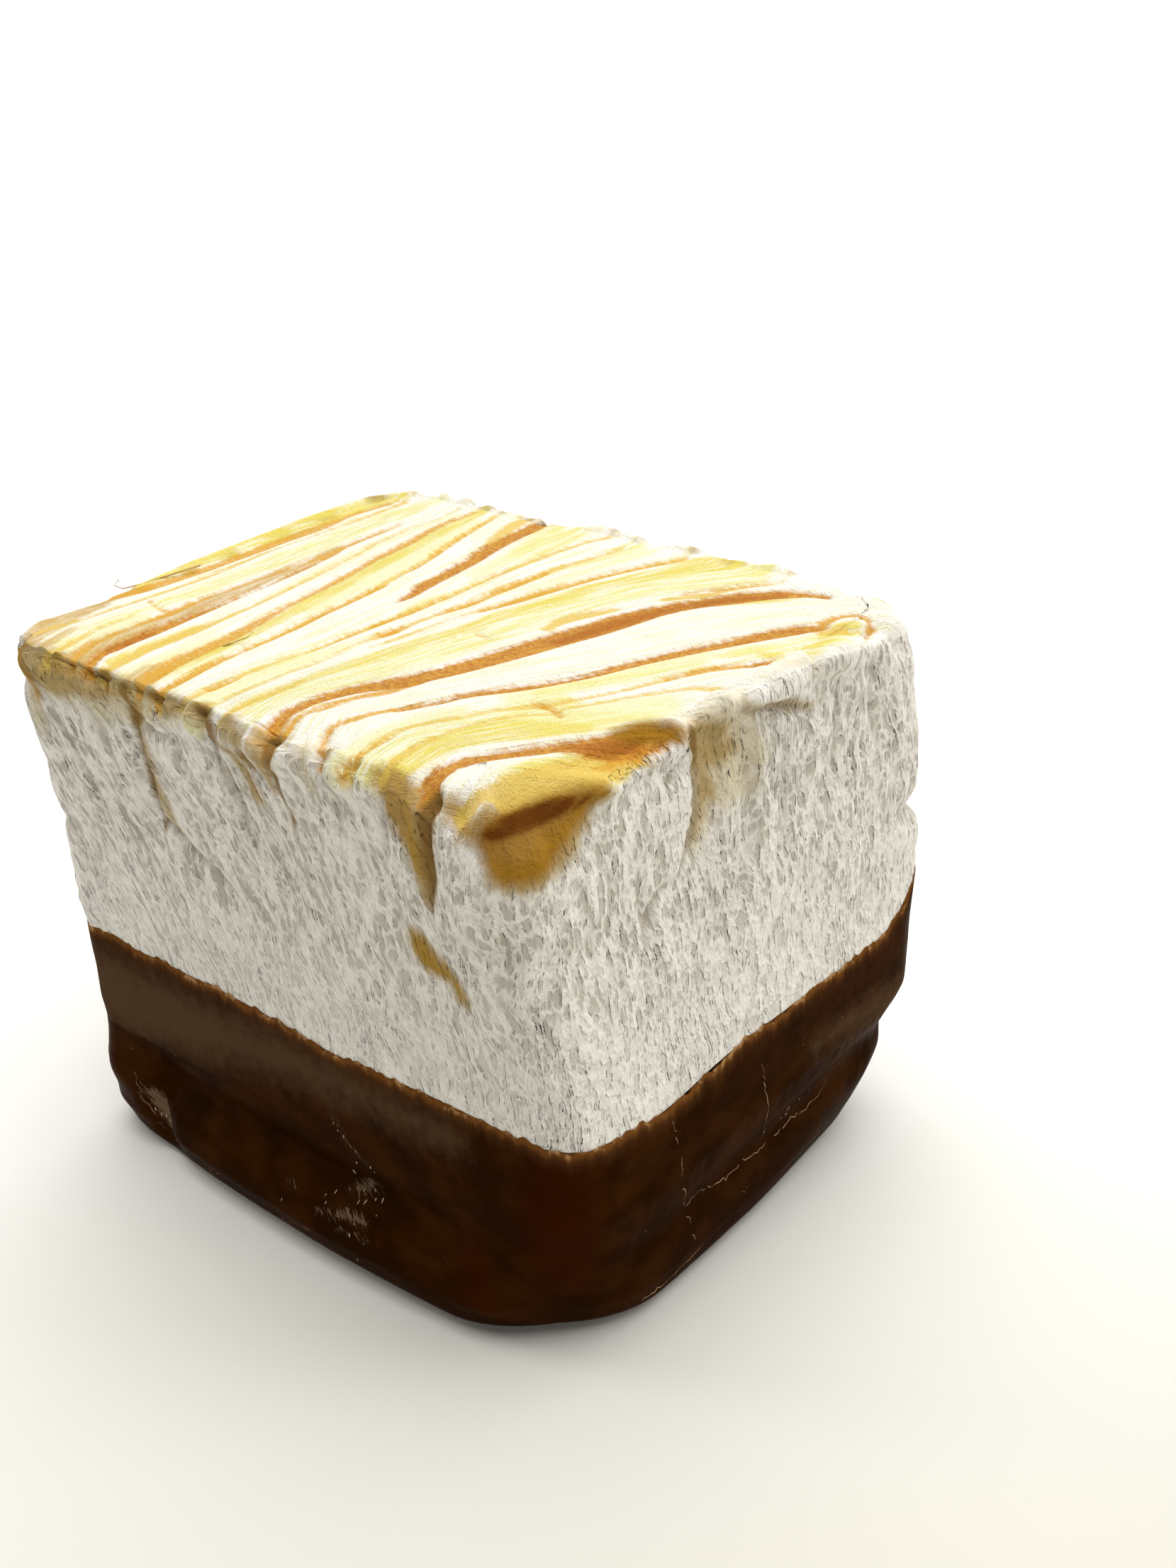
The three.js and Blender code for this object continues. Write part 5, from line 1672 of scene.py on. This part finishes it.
BULGES = [
    on_front([(-17.6, 4.8, 0.5), (-16.2, 4.6, 0.75), (-14.8, 4, 0.6)]),
    on_front([(-10, 3.2, 0.2), (-4, 2.9, 0.3), (2, 2.8, 0.3), (8, 3.3, 0.2)]),
    on_front([(13, 4.9, 0.1), (13.2, 4, 0.16), (13.5, 3, 0.1)]),
    on_right([(5, 3.2, 0.1), (10, 3.6, 0.25), (14, 3.9, 0.3)]),
]
FOLD_WIDTH = 1.1
BULGE_WIDTH = 1.5
CALM_AT_FOOT = (0.1, 1.5)
CALM_AT_LIP = (0.2, 2.5)

shell_skin = Skin(shell_smooth, shell_quads)
shell_normals = point_normals(shell_smooth, shell_quads)
outside = np.arange(shell_count) < outside_count
shell_z = shell_smooth[:, 2]
calm = smooth(shell_z, *CALM_AT_FOOT) * smooth(RIM - shell_z, *CALM_AT_LIP) * outside
shell_push = layered(shell_smooth, [CHOC_DENTS, CHOC_RIPPLE]) - lines_on(shell_skin, FOLDS, FOLD_WIDTH)
shell_push += lines_on(shell_skin, BULGES, BULGE_WIDTH)
shell_points = shell_smooth + shell_normals * (shell_push * calm)[:, None]
shell_points[:, :2] += SHIFT
shell_points[:, 2] = np.maximum(shell_points[:, 2], 0)
chocolate = closed_piece("chocolate_dip", shell_points, shell_quads, shell_fans)

# %% [markdown]
# ## Scuffs, painted sheen and painted glints
# Where the sweet was pushed over the tray the chocolate is scuffed. A greyish painted sheen lies along the
# dip line, and two red-brown painted glints lie down the near corner and on a small bulge at the front.
# All three are drawn with strokes, as the caramel was, because each has its own place on the real sweet.

# %% Scuffs
SCUFFS = [
    on_front([(-14, 3.9, 0.6), (-13, 3.4, 1.4), (-12.2, 2.4, 1.3), (-11.3, 1.5, 0.4)]),
    on_front([(-15.5, 6.4, 0.25), (-15.2, 6.3, 0.25)]),
    on_front([(3.1, 9, 0.2), (3.6, 8.4, 0.25), (4.2, 7.8, 0.4), (5.6, 7, 0.2)]),
    on_front([(3.4, 4.7, 0.4), (4.3, 5, 0.8), (5.3, 5.6, 0.9), (5.9, 5.8, 0.4)]),
    on_front([(2, 2.9, 0.3), (3.4, 3.2, 0.7), (5, 3.6, 0.7), (5.7, 3.7, 0.3)]),
    on_front([(3.6, 2.5, 0.2), (4.8, 2.7, 0.3), (5.8, 2.7, 0.2)]),
    on_front([(-1.1, 1.3, 0.2), (0, 1.7, 0.35), (1.2, 2, 0.3)]),
    on_front([(-1.5, 0.5, 0.3), (-0.4, 0.5, 0.6), (1.2, 0.7, 0.4)]),
    on_front([(-7.8, 1.6, 0.25), (-6.9, 1, 0.3), (-5.8, 0.6, 0.2)]),
    on_front([(-0.5, 3.5, 0.35), (-0.1, 3.3, 0.35)]),
    on_front([(-4.6, 11.2, 0.14), (-4.5, 11.1, 0.14)]),
    on_front([(2.7, 11.5, 0.12), (2.8, 11.4, 0.12)]),
    on_front([(11.2, 3.9, 0.14), (11.3, 3.8, 0.14)]),
    on_right([(-9.8, 10.7, 0.16), (-9.7, 10.6, 0.16)]),
    on_right([(3.7, 10.4, 0.14), (3.8, 10.4, 0.14)]),
    on_right([(7.3, 9.9, 0.14), (7.4, 9.9, 0.14)]),
    on_right([(-8.7, 5.9, 0.14), (-8.6, 5.9, 0.14)]),
    on_right([(-0.5, 3.2, 0.2), (-0.3, 3, 0.2)]),
    on_left([(-6, 3.4, 0.4), (-4.6, 3, 0.9), (-3.4, 2.4, 0.4)]),
    on_back([(6, 2.6, 0.3), (7.4, 3, 0.8), (8.8, 3.4, 0.3)]),
]
print(len(SCUFFS), "scuffs")

# %% Painted sheen and painted glints
# A painted sheen: a greyish lightening along the dip line that stands in for reflection.
PAINTED_SHEEN_STROKES = [
    on_front(
        [(-18.4, 10.6, 3.5), (-15, 9.8, 4.5), (-10, 10.2, 4), (-5, 10.8, 3)]
        + [(0, 11.2, 2.4), (6, 11.4, 1.6), (12, 11.6, 1)]
    ),
    on_right([(5, 9.6, 0.2), (9, 9.2, 0.8), (12.5, 8.6, 1.8), (15.5, 8, 2.6)]),
    on_back(
        [(19, 10.4, 2.6), (12, 10.6, 1.6), (4, 10.9, 1), (-6, 11, 0.8)]
        + [(-14, 11.2, 0.6), (-19, 11.4, 0.4)]
    ),
    on_left([(-15.5, 10.4, 3.2), (-9, 10.4, 2.6), (-1, 10.7, 1.8), (7, 11, 1.2), (14, 11.3, 0.6)]),
]
# Painted glints: warm red-brown highlights down the near corner and on a small bulge at the front.
PAINTED_GLINT_STROKES = [
    [(18.6, -13.2, 12.3, 1.4), (18.3, -13.4, 10.1, 2.4), (18, -13.2, 7.3, 2.2), (17.7, -12.7, 5.1, 1)],
    on_front([(13, 5.4, 0.3), (13.2, 4, 0.7), (13.5, 2.8, 0.3)]),
]
rim_depth = np.concatenate([np.tile(rim_line, len(shell_rings)), [RIM, RIM]]) - shell_smooth[:, 2]
keep_on_mesh(chocolate.data, "below_rim", rim_depth)
# Scuffs are wear; the glow strokes are painted glints and the other strokes a painted sheen.
for name, strokes in (("scuffed", SCUFFS), ("glow", PAINTED_GLINT_STROKES), ("painted_sheen", PAINTED_SHEEN_STROKES)):
    depths = shell_skin.draw(strokes)[0]
    keep_on_mesh(chocolate.data, name, depths)
    print(name, "covers", round(100 * (depths > 0).mean(), 1), "% of the chocolate's points")
keep_on_mesh(chocolate.data, "grain", shell_smooth)
level = shell_smooth[:, :2].sum(1)
keep_on_mesh(chocolate.data, "scratch", np.stack([level + shell_z, shell_smooth[:, 1], level - shell_z], 1))

# %% [markdown]
# ## Finish of the chocolate
# Set dark chocolate that was handled has lost its gloss: it mirrors the room only faintly, and a little
# brown. It is almost black where it is thick. Two warm red-brown patches are painted glints, and a greyer
# band near the dip line is a painted sheen, rougher there too. The line itself is a thin amber comb. Scuffs
# are dull, pale scratches, because there it is broken. One even brown would be quicker, but it would look
# like plastic.

# %% Tones and noises of the chocolate
CHOC_DARK = (0.018, 0.005, 0.0003)
CHOC_BROWN = (0.048, 0.0145, 0.0016)
# The greyish tone below is a painted sheen; the red-brown one further down is for painted glints.
CHOC_PAINTED_SHEEN = (0.090, 0.052, 0.027)
CHOC_RIM = (0.085, 0.034, 0.012)
CHOC_AMBER = (0.17, 0.064, 0.014)
CHOC_PALE = (0.46, 0.27, 0.12)
CHOC_PAINTED_GLINT = (0.038, 0.0065, 0.0003)
SCUFF_TONE = (0.20, 0.13, 0.08)
COMB = {"scale": (3.6, 3.6, 0.5), "swing": 0.6}
CHOC_SPECULAR = 0.004
CHOC_SHEEN = (1, 0.6, 0.35, 1)
SMOOTH_TO_DULL = (0.36, 0.7)
CLOUD = {"scale": (0.3, 0.3, 0.45), "shares": (0.34, 0.7, 0.0, 0.6)}
MOTTLE = {"scale": (1.3, 1.3, 1.5), "bump": 0.05 * MM}
PAINTED_SHEEN = {"swing": 2.4, "edge": (-1.6, 1.6), "share": 0.85, "dull": 0.8}
PAINTED_GLINT_SHARES = (-2.2, 1.2, 0.0, 0.7)
RIM_SHARES = (0.1, 1.2, 0.75, 0.0)
AMBER_SHARES = (0.0, 0.55, 0.95, 0.0)
SPECKS = {"reach": (-0.05, 0.3, 0.8, 0.0), "where": (0.5, 0.6)}
SCRATCHES = {"scale": (6, 3, 1.1), "middle": 0.56, "swing": 2.6, "edge": (-0.06, 0.14), "share": 0.75}
DULL_AT_RIM = (0.2, 1.6, 1.0, 0.0)
COMB_FADES = (0.3, 1.2, 1.0, 0.0)
CHOC_BUMP = 0.12 * MM
print("chocolate from", CHOC_DARK, "to", SCUFF_TONE)

# %% Chocolate colour
dark = new_material("dark_chocolate")
dark_shader = flat_colour(dark, CHOC_DARK, SMOOTH_TO_DULL[0])
dark_shader.inputs["Specular IOR Level"].default_value = CHOC_SPECULAR
dark_shader.inputs["Specular Tint"].default_value = CHOC_SHEEN
dark_place = kept(dark, "grain", "Vector")
comb = fractal(dark, dark_place, COMB["scale"], 2.0, 0.6)
depth = swung(dark, comb, -COMB["swing"], kept(dark, "below_rim"))
cloud = fractal(dark, dark_place, CLOUD["scale"], 3.0, 0.55)
mottle = fractal(dark, dark_place, MOTTLE["scale"], 3.0, 0.6)
sheen_mask = swung(dark, mottle, PAINTED_SHEEN["swing"], kept(dark, "painted_sheen"))
speck = calc(dark, "MULTIPLY", ramp(dark, depth, *SPECKS["reach"]), ramp(dark, mottle, *SPECKS["where"]))
scratches = fractal(dark, kept(dark, "scratch", "Vector"), SCRATCHES["scale"], 3.0, 0.7)
off_middle = calc(dark, "SUBTRACT", scratches, SCRATCHES["middle"])
broken = calc(dark, "MULTIPLY_ADD", off_middle, SCRATCHES["swing"], kept(dark, "scuffed"))
scuffed = ramp(dark, broken, *SCRATCHES["edge"])

dark_colour = mix_colour(dark, ramp(dark, cloud, *CLOUD["shares"]), CHOC_DARK, CHOC_BROWN)
# Over the plain chocolate: painted sheen, painted glints, rim, specks and scuffs.
for share, tone in (
    (ramp(dark, sheen_mask, *PAINTED_SHEEN["edge"], 0.0, PAINTED_SHEEN["share"]), CHOC_PAINTED_SHEEN),
    (ramp(dark, kept(dark, "glow"), *PAINTED_GLINT_SHARES), CHOC_PAINTED_GLINT),
    (ramp(dark, depth, *RIM_SHARES), CHOC_RIM),
    (ramp(dark, depth, *AMBER_SHARES), CHOC_AMBER),
    (speck, CHOC_PALE),
    (calc(dark, "MULTIPLY", scuffed, SCRATCHES["share"]), SCUFF_TONE),
):
    dark_colour = mix_colour(dark, share, dark_colour, tone)
dark.node_tree.links.new(dark_colour, dark_shader.inputs["Base Color"])
print("the chocolate's colour takes", len(dark.node_tree.nodes), "nodes")

# %% Chocolate gloss and bump
dull = calc(dark, "MAXIMUM", scuffed, ramp(dark, depth, *DULL_AT_RIM))
dull = calc(dark, "MAXIMUM", dull, ramp(dark, sheen_mask, *PAINTED_SHEEN["edge"], 0.0, PAINTED_SHEEN["dull"]))
dark.node_tree.links.new(ramp(dark, dull, 0.0, 1.0, *SMOOTH_TO_DULL), dark_shader.inputs["Roughness"])
comb_height = calc(dark, "MULTIPLY", comb, ramp(dark, depth, *COMB_FADES))
dark_normal = bumped(dark, calc(dark, "MULTIPLY", scratches, scuffed), CHOC_BUMP)
dark_normal = bumped(dark, comb_height, CHOC_BUMP, dark_normal)
dark_normal = bumped(dark, mottle, MOTTLE["bump"], dark_normal)
dark.node_tree.links.new(dark_normal, dark_shader.inputs["Normal"])
chocolate.data.materials.append(dark)
print("the chocolate's finish has", len(dark.node_tree.nodes), "nodes")

# %% [markdown]
# ## Threads
# Small things make a sweet look handled. Drawn-out caramel left two hair-fine threads on the top. They
# are real pieces, because a painted hair has no shadow: each is a thin tube that tapers along its path.

# %% Threads
THREAD_RADIUS = 0.045
THREAD_SIDES = 6
TAPERS_TO = 0.45
ASKEW = (0.3, 0.2, 1)
THREAD_FINISH = {"tones": ((0.30, 0.14, 0.03), (0.75, 0.5, 0.2)), "roughness": 0.4, "scale": 2}
THREADS = [
    [(-19.0, -1.5, 31.2), (-19.6, -3.2, 31.05), (-20.2, -4.8, 30.9), (-20.65, -5.9, 30.85)]
    + [(-20.95, -6.2, 31.1), (-20.9, -5.9, 31.35), (-20.65, -6, 31.3)],
    [(-7.7, -8.6, 30.98), (-7.35, -7.9, 31.12), (-7.0, -7.5, 31.25), (-6.95, -7.1, 31.45)],
]


def tube(path, radius, sides):
    """Points and faces of a closed thin tube along a path."""
    path = np.array(path, float)
    ahead = np.gradient(path, axis=0)
    ahead /= np.linalg.norm(ahead, axis=1, keepdims=True)
    across = np.cross(ahead, ASKEW)
    across /= np.linalg.norm(across, axis=1, keepdims=True)
    upward = np.cross(across, ahead)
    turn = np.arange(sides) * 2 * math.pi / sides
    ring = across[:, None] * np.cos(turn)[None, :, None] + upward[:, None] * np.sin(turn)[None, :, None]
    thin = radius * np.linspace(1, TAPERS_TO, len(path))[:, None, None]
    points = (path[:, None] + ring * thin).reshape(-1, 3)
    faces = []
    for k in range(len(path) - 1):
        for j in range(sides):
            a, b = k * sides + j, k * sides + (j + 1) % sides
            faces.append((a, b, b + sides, a + sides))
    faces += [tuple(range(sides))[::-1], tuple(range((len(path) - 1) * sides, len(path) * sides))]
    return points, faces


def joined(name, parts):
    """One object from several small meshes in mm."""
    points, faces = [], []
    for part_points, part_faces in parts:
        start = len(points)
        points += [tuple(point) for point in part_points]
        faces += [tuple(start + int(k) for k in face) for face in part_faces]
    mesh = bpy.data.meshes.new(name)
    mesh.from_pydata([tuple(np.array(point) * MM) for point in points], [], faces)
    mesh.polygons.foreach_set("use_smooth", [True] * len(mesh.polygons))
    mesh.update()
    piece = bpy.data.objects.new(name, mesh)
    bpy.context.scene.collection.objects.link(piece)
    print(name, "has", len(faces), "faces")
    return piece


def finish_small(piece, name, finish):
    """Gives a small piece a finish that wanders between two tones."""
    material = new_material(name)
    shader = flat_colour(material, finish["tones"][0], finish["roughness"])
    tint = fractal(material, in_mm(material), (finish["scale"],) * 3, 2.0, 0.5)
    if "edge" in finish:
        tint = ramp(material, tint, *finish["edge"])
    material.node_tree.links.new(mix_colour(material, tint, *finish["tones"]), shader.inputs["Base Color"])
    piece.data.materials.append(material)


threads = joined("caramel_threads", [tube(path, THREAD_RADIUS, THREAD_SIDES) for path in THREADS])
finish_small(threads, "drawn_caramel", THREAD_FINISH)

# %% [markdown]
# ## Cracks
# Cold chocolate cracks when it is handled, and a crack shows as a pale hair that wanders and breaks off.
# It could be painted, but a painted line this thin blurs. So each crack is a row of short tubes, half sunk
# in the skin, that follows a stroke with a little drawn noise and leaves gaps by chance.

# %% Cracks
CRACK_SEED = 61
CRACK_RADIUS = 0.035
CRACK_STEP = 0.25
CRACK_GAPS = 0.18
CRACK_JITTER = 0.06
CRACK_THINNING = (0.5, 1)
CRACK_TONES = ((0.10, 0.045, 0.02), (0.42, 0.27, 0.15))
CRACK_FINISH = {"tones": CRACK_TONES, "roughness": 0.7, "scale": 1.2, "edge": (0.4, 0.6)}
CRACKS = [
    on_right(
        [(-6.6, 11.8, 0), (-6.5, 10.4, 0), (-6.2, 9.1, 0), (-6.3, 8, 0), (-5.8, 6.4, 0)]
        + [(-5.5, 5.2, 0), (-5.1, 4.2, 0), (-4.9, 3.2, 0), (-4.3, 1.8, 0)]
    ),
    on_right(
        [(0.3, 11, 0), (0.5, 10, 0), (0.5, 9.1, 0), (0.8, 8, 0)]
        + [(0.8, 6.8, 0), (1.2, 5.8, 0), (1.3, 4.9, 0)]
    ),
    on_right(
        [(-5.3, 5.1, 0), (-4.4, 5.3, 0), (-3.2, 5, 0), (-1.8, 4.8, 0), (-0.6, 4.9, 0), (1.2, 4.8, 0)]
        + [(2.6, 4.9, 0), (3.8, 5.1, 0), (5.2, 5, 0), (6.4, 5.2, 0), (8, 5.6, 0)]
    ),
    on_front([(-14.8, 4.6, 0), (-14.2, 3.2, 0), (-13.4, 2, 0), (-12.7, 1.2, 0)]),
    on_right([(-8.8, 0.9, 0), (-7.2, 1.1, 0), (-5.4, 1.2, 0), (-4, 1.5, 0)]),
]
crack_draw = np.random.default_rng(CRACK_SEED)
shell_tree = BVHTree.FromPolygons([tuple(p) for p in shell_points], shell_quads.tolist())
print(len(CRACKS), "cracks to lay on the chocolate")

# %% Hairs along the cracks


def on_shell(place):
    """The nearest spot of the finished chocolate skin."""
    return np.array(shell_tree.find_nearest(Vector(place))[0])


def hair(run):
    """One short piece of crack, some thinner than others."""
    return tube(run, CRACK_RADIUS * crack_draw.uniform(*CRACK_THINNING), THREAD_SIDES)


def hairs_along(stroke):
    """Short pieces of hair-thin tube along a stroke, with a gap here and there."""
    corners = np.array(stroke)[:, :3]
    legs = np.linalg.norm(np.diff(corners, axis=0), axis=1)
    marks = np.concatenate([[0], np.cumsum(legs)])
    places = np.arange(0, marks[-1], CRACK_STEP)
    path = np.stack([np.interp(places, marks, corners[:, axis]) for axis in range(3)], 1)
    path = [on_shell(spot + crack_draw.normal(0, CRACK_JITTER, 3)) for spot in path]
    run = []
    for spot in path:
        run.append(spot)
        if crack_draw.random() < CRACK_GAPS:
            if len(run) > 2:
                yield hair(run)
            run = []
    if len(run) > 2:
        yield hair(run)


cracks = joined("chocolate_cracks", [piece for stroke in CRACKS for piece in hairs_along(stroke)])
finish_small(cracks, "cracked_chocolate", CRACK_FINISH)

# %% [markdown]
# ## Flakes
# Where the chocolate was scuffed, a few flakes of it still cling. Each is a small five-sided scale with a
# raised edge, laid on the nearest spot of the skin, and all of them are one mesh.

# %% Flakes
FLAKE_SEED = 71
FLAKE_THICKNESS = 0.03
FLAKE_LIFT = 0.02
FLAKE_LOWEST = 0.95
FLAKE_CORNERS = 5
FLAKE_REACHES = (0.5, 1.2)
FLAKE_SIZES = (0.4, 1)
FLAKE_STRETCH = (0.2, 0.45)
FLAKE_CURL = 0.22
FLAKE_FINISH = {"tones": ((0.10, 0.05, 0.025), (0.62, 0.5, 0.4)), "roughness": 0.6, "scale": 3}
FLAKE_GROUPS = [
    # where (place, height, size), how many flakes, and how far they lie from there
    (on_front([(3.2, 8.9, 0.3), (4, 8.1, 0.4), (4.6, 7.4, 0.3), (5.8, 6.9, 0.3)]), 7, 0.3),
    (on_front([(4.2, 5, 0.4), (5.6, 5.6, 0.4), (5.9, 4.6, 0.4)]), 9, 0.5),
    (on_front([(2.4, 3, 0.4), (5, 3.5, 0.4), (5.4, 2.6, 0.4)]), 9, 0.5),
    (on_front([(-13.4, 3.4, 0.4), (-12, 2.2, 0.4)]), 6, 0.6),
    (on_front([(-6.9, 1, 0.4), (-0.2, 1.6, 0.4)]), 4, 0.5),
    (on_right([(2.9, 5.7, 0.3), (4.4, 5.9, 0.3)]), 6, 0.35),
]
flake_draw = np.random.default_rng(FLAKE_SEED)


def flake(place, normal, size):
    """A small scale that lies on the skin: a five-sided sheet with a raised edge."""
    normal = np.array(normal)
    side = np.cross(normal, (0, 0, 1))
    side /= np.linalg.norm(side)
    other = np.cross(normal, side)
    turn = flake_draw.uniform(0, 2 * math.pi)
    angles = turn + np.arange(FLAKE_CORNERS) * 2 * math.pi / FLAKE_CORNERS
    reach = size / 2 * flake_draw.uniform(*FLAKE_REACHES, FLAKE_CORNERS)
    stretch = flake_draw.uniform(*FLAKE_STRETCH)
    sheet = np.cos(angles)[:, None] * side * stretch + np.sin(angles)[:, None] * other
    lift = FLAKE_LIFT + size * FLAKE_CURL * flake_draw.uniform(0, 1, FLAKE_CORNERS)
    low = np.array(place) + sheet * reach[:, None] + normal * lift[:, None] / 2
    high = low + normal * FLAKE_THICKNESS
    bottom = tuple(range(FLAKE_CORNERS))
    walls = [(k, (k + 1) % FLAKE_CORNERS) for k in bottom]
    walls = [(k, after, after + FLAKE_CORNERS, k + FLAKE_CORNERS) for k, after in walls]
    return np.concatenate([low, high]), [bottom[::-1], tuple(k + FLAKE_CORNERS for k in bottom), *walls]


flake_parts = []
for places, count, scatter in FLAKE_GROUPS:
    for _ in range(count):
        x, y, z, size = places[flake_draw.integers(len(places))]
        near = Vector((x, y, z)) + Vector(flake_draw.normal(0, scatter, 3))
        near.z = max(near.z, FLAKE_LOWEST)
        spot, normal = shell_tree.find_nearest(near)[:2]
        flake_parts.append(flake(spot, normal, size * flake_draw.uniform(*FLAKE_SIZES)))
flakes = joined("chocolate_flakes", flake_parts)
finish_small(flakes, "flaked_chocolate", FLAKE_FINISH)

# %% [markdown]
# ## Putting the pieces on the frame
# Every piece rides on the one body there is. The foam and the chocolate also stand for their plain
# solids, while the small pieces only lie on them.

# %% Ride and replace
for piece, node, slot in (
    (marshmallow, "marshmallow", "marshmallow_foam"),
    (chocolate, "chocolate_shell", "dark_chocolate"),
):
    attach(piece, "root")
    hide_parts(node)
for piece, slot in ((threads, "marshmallow_foam"), (flakes, "dark_chocolate"), (cracks, "dark_chocolate")):
    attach(piece, "root")
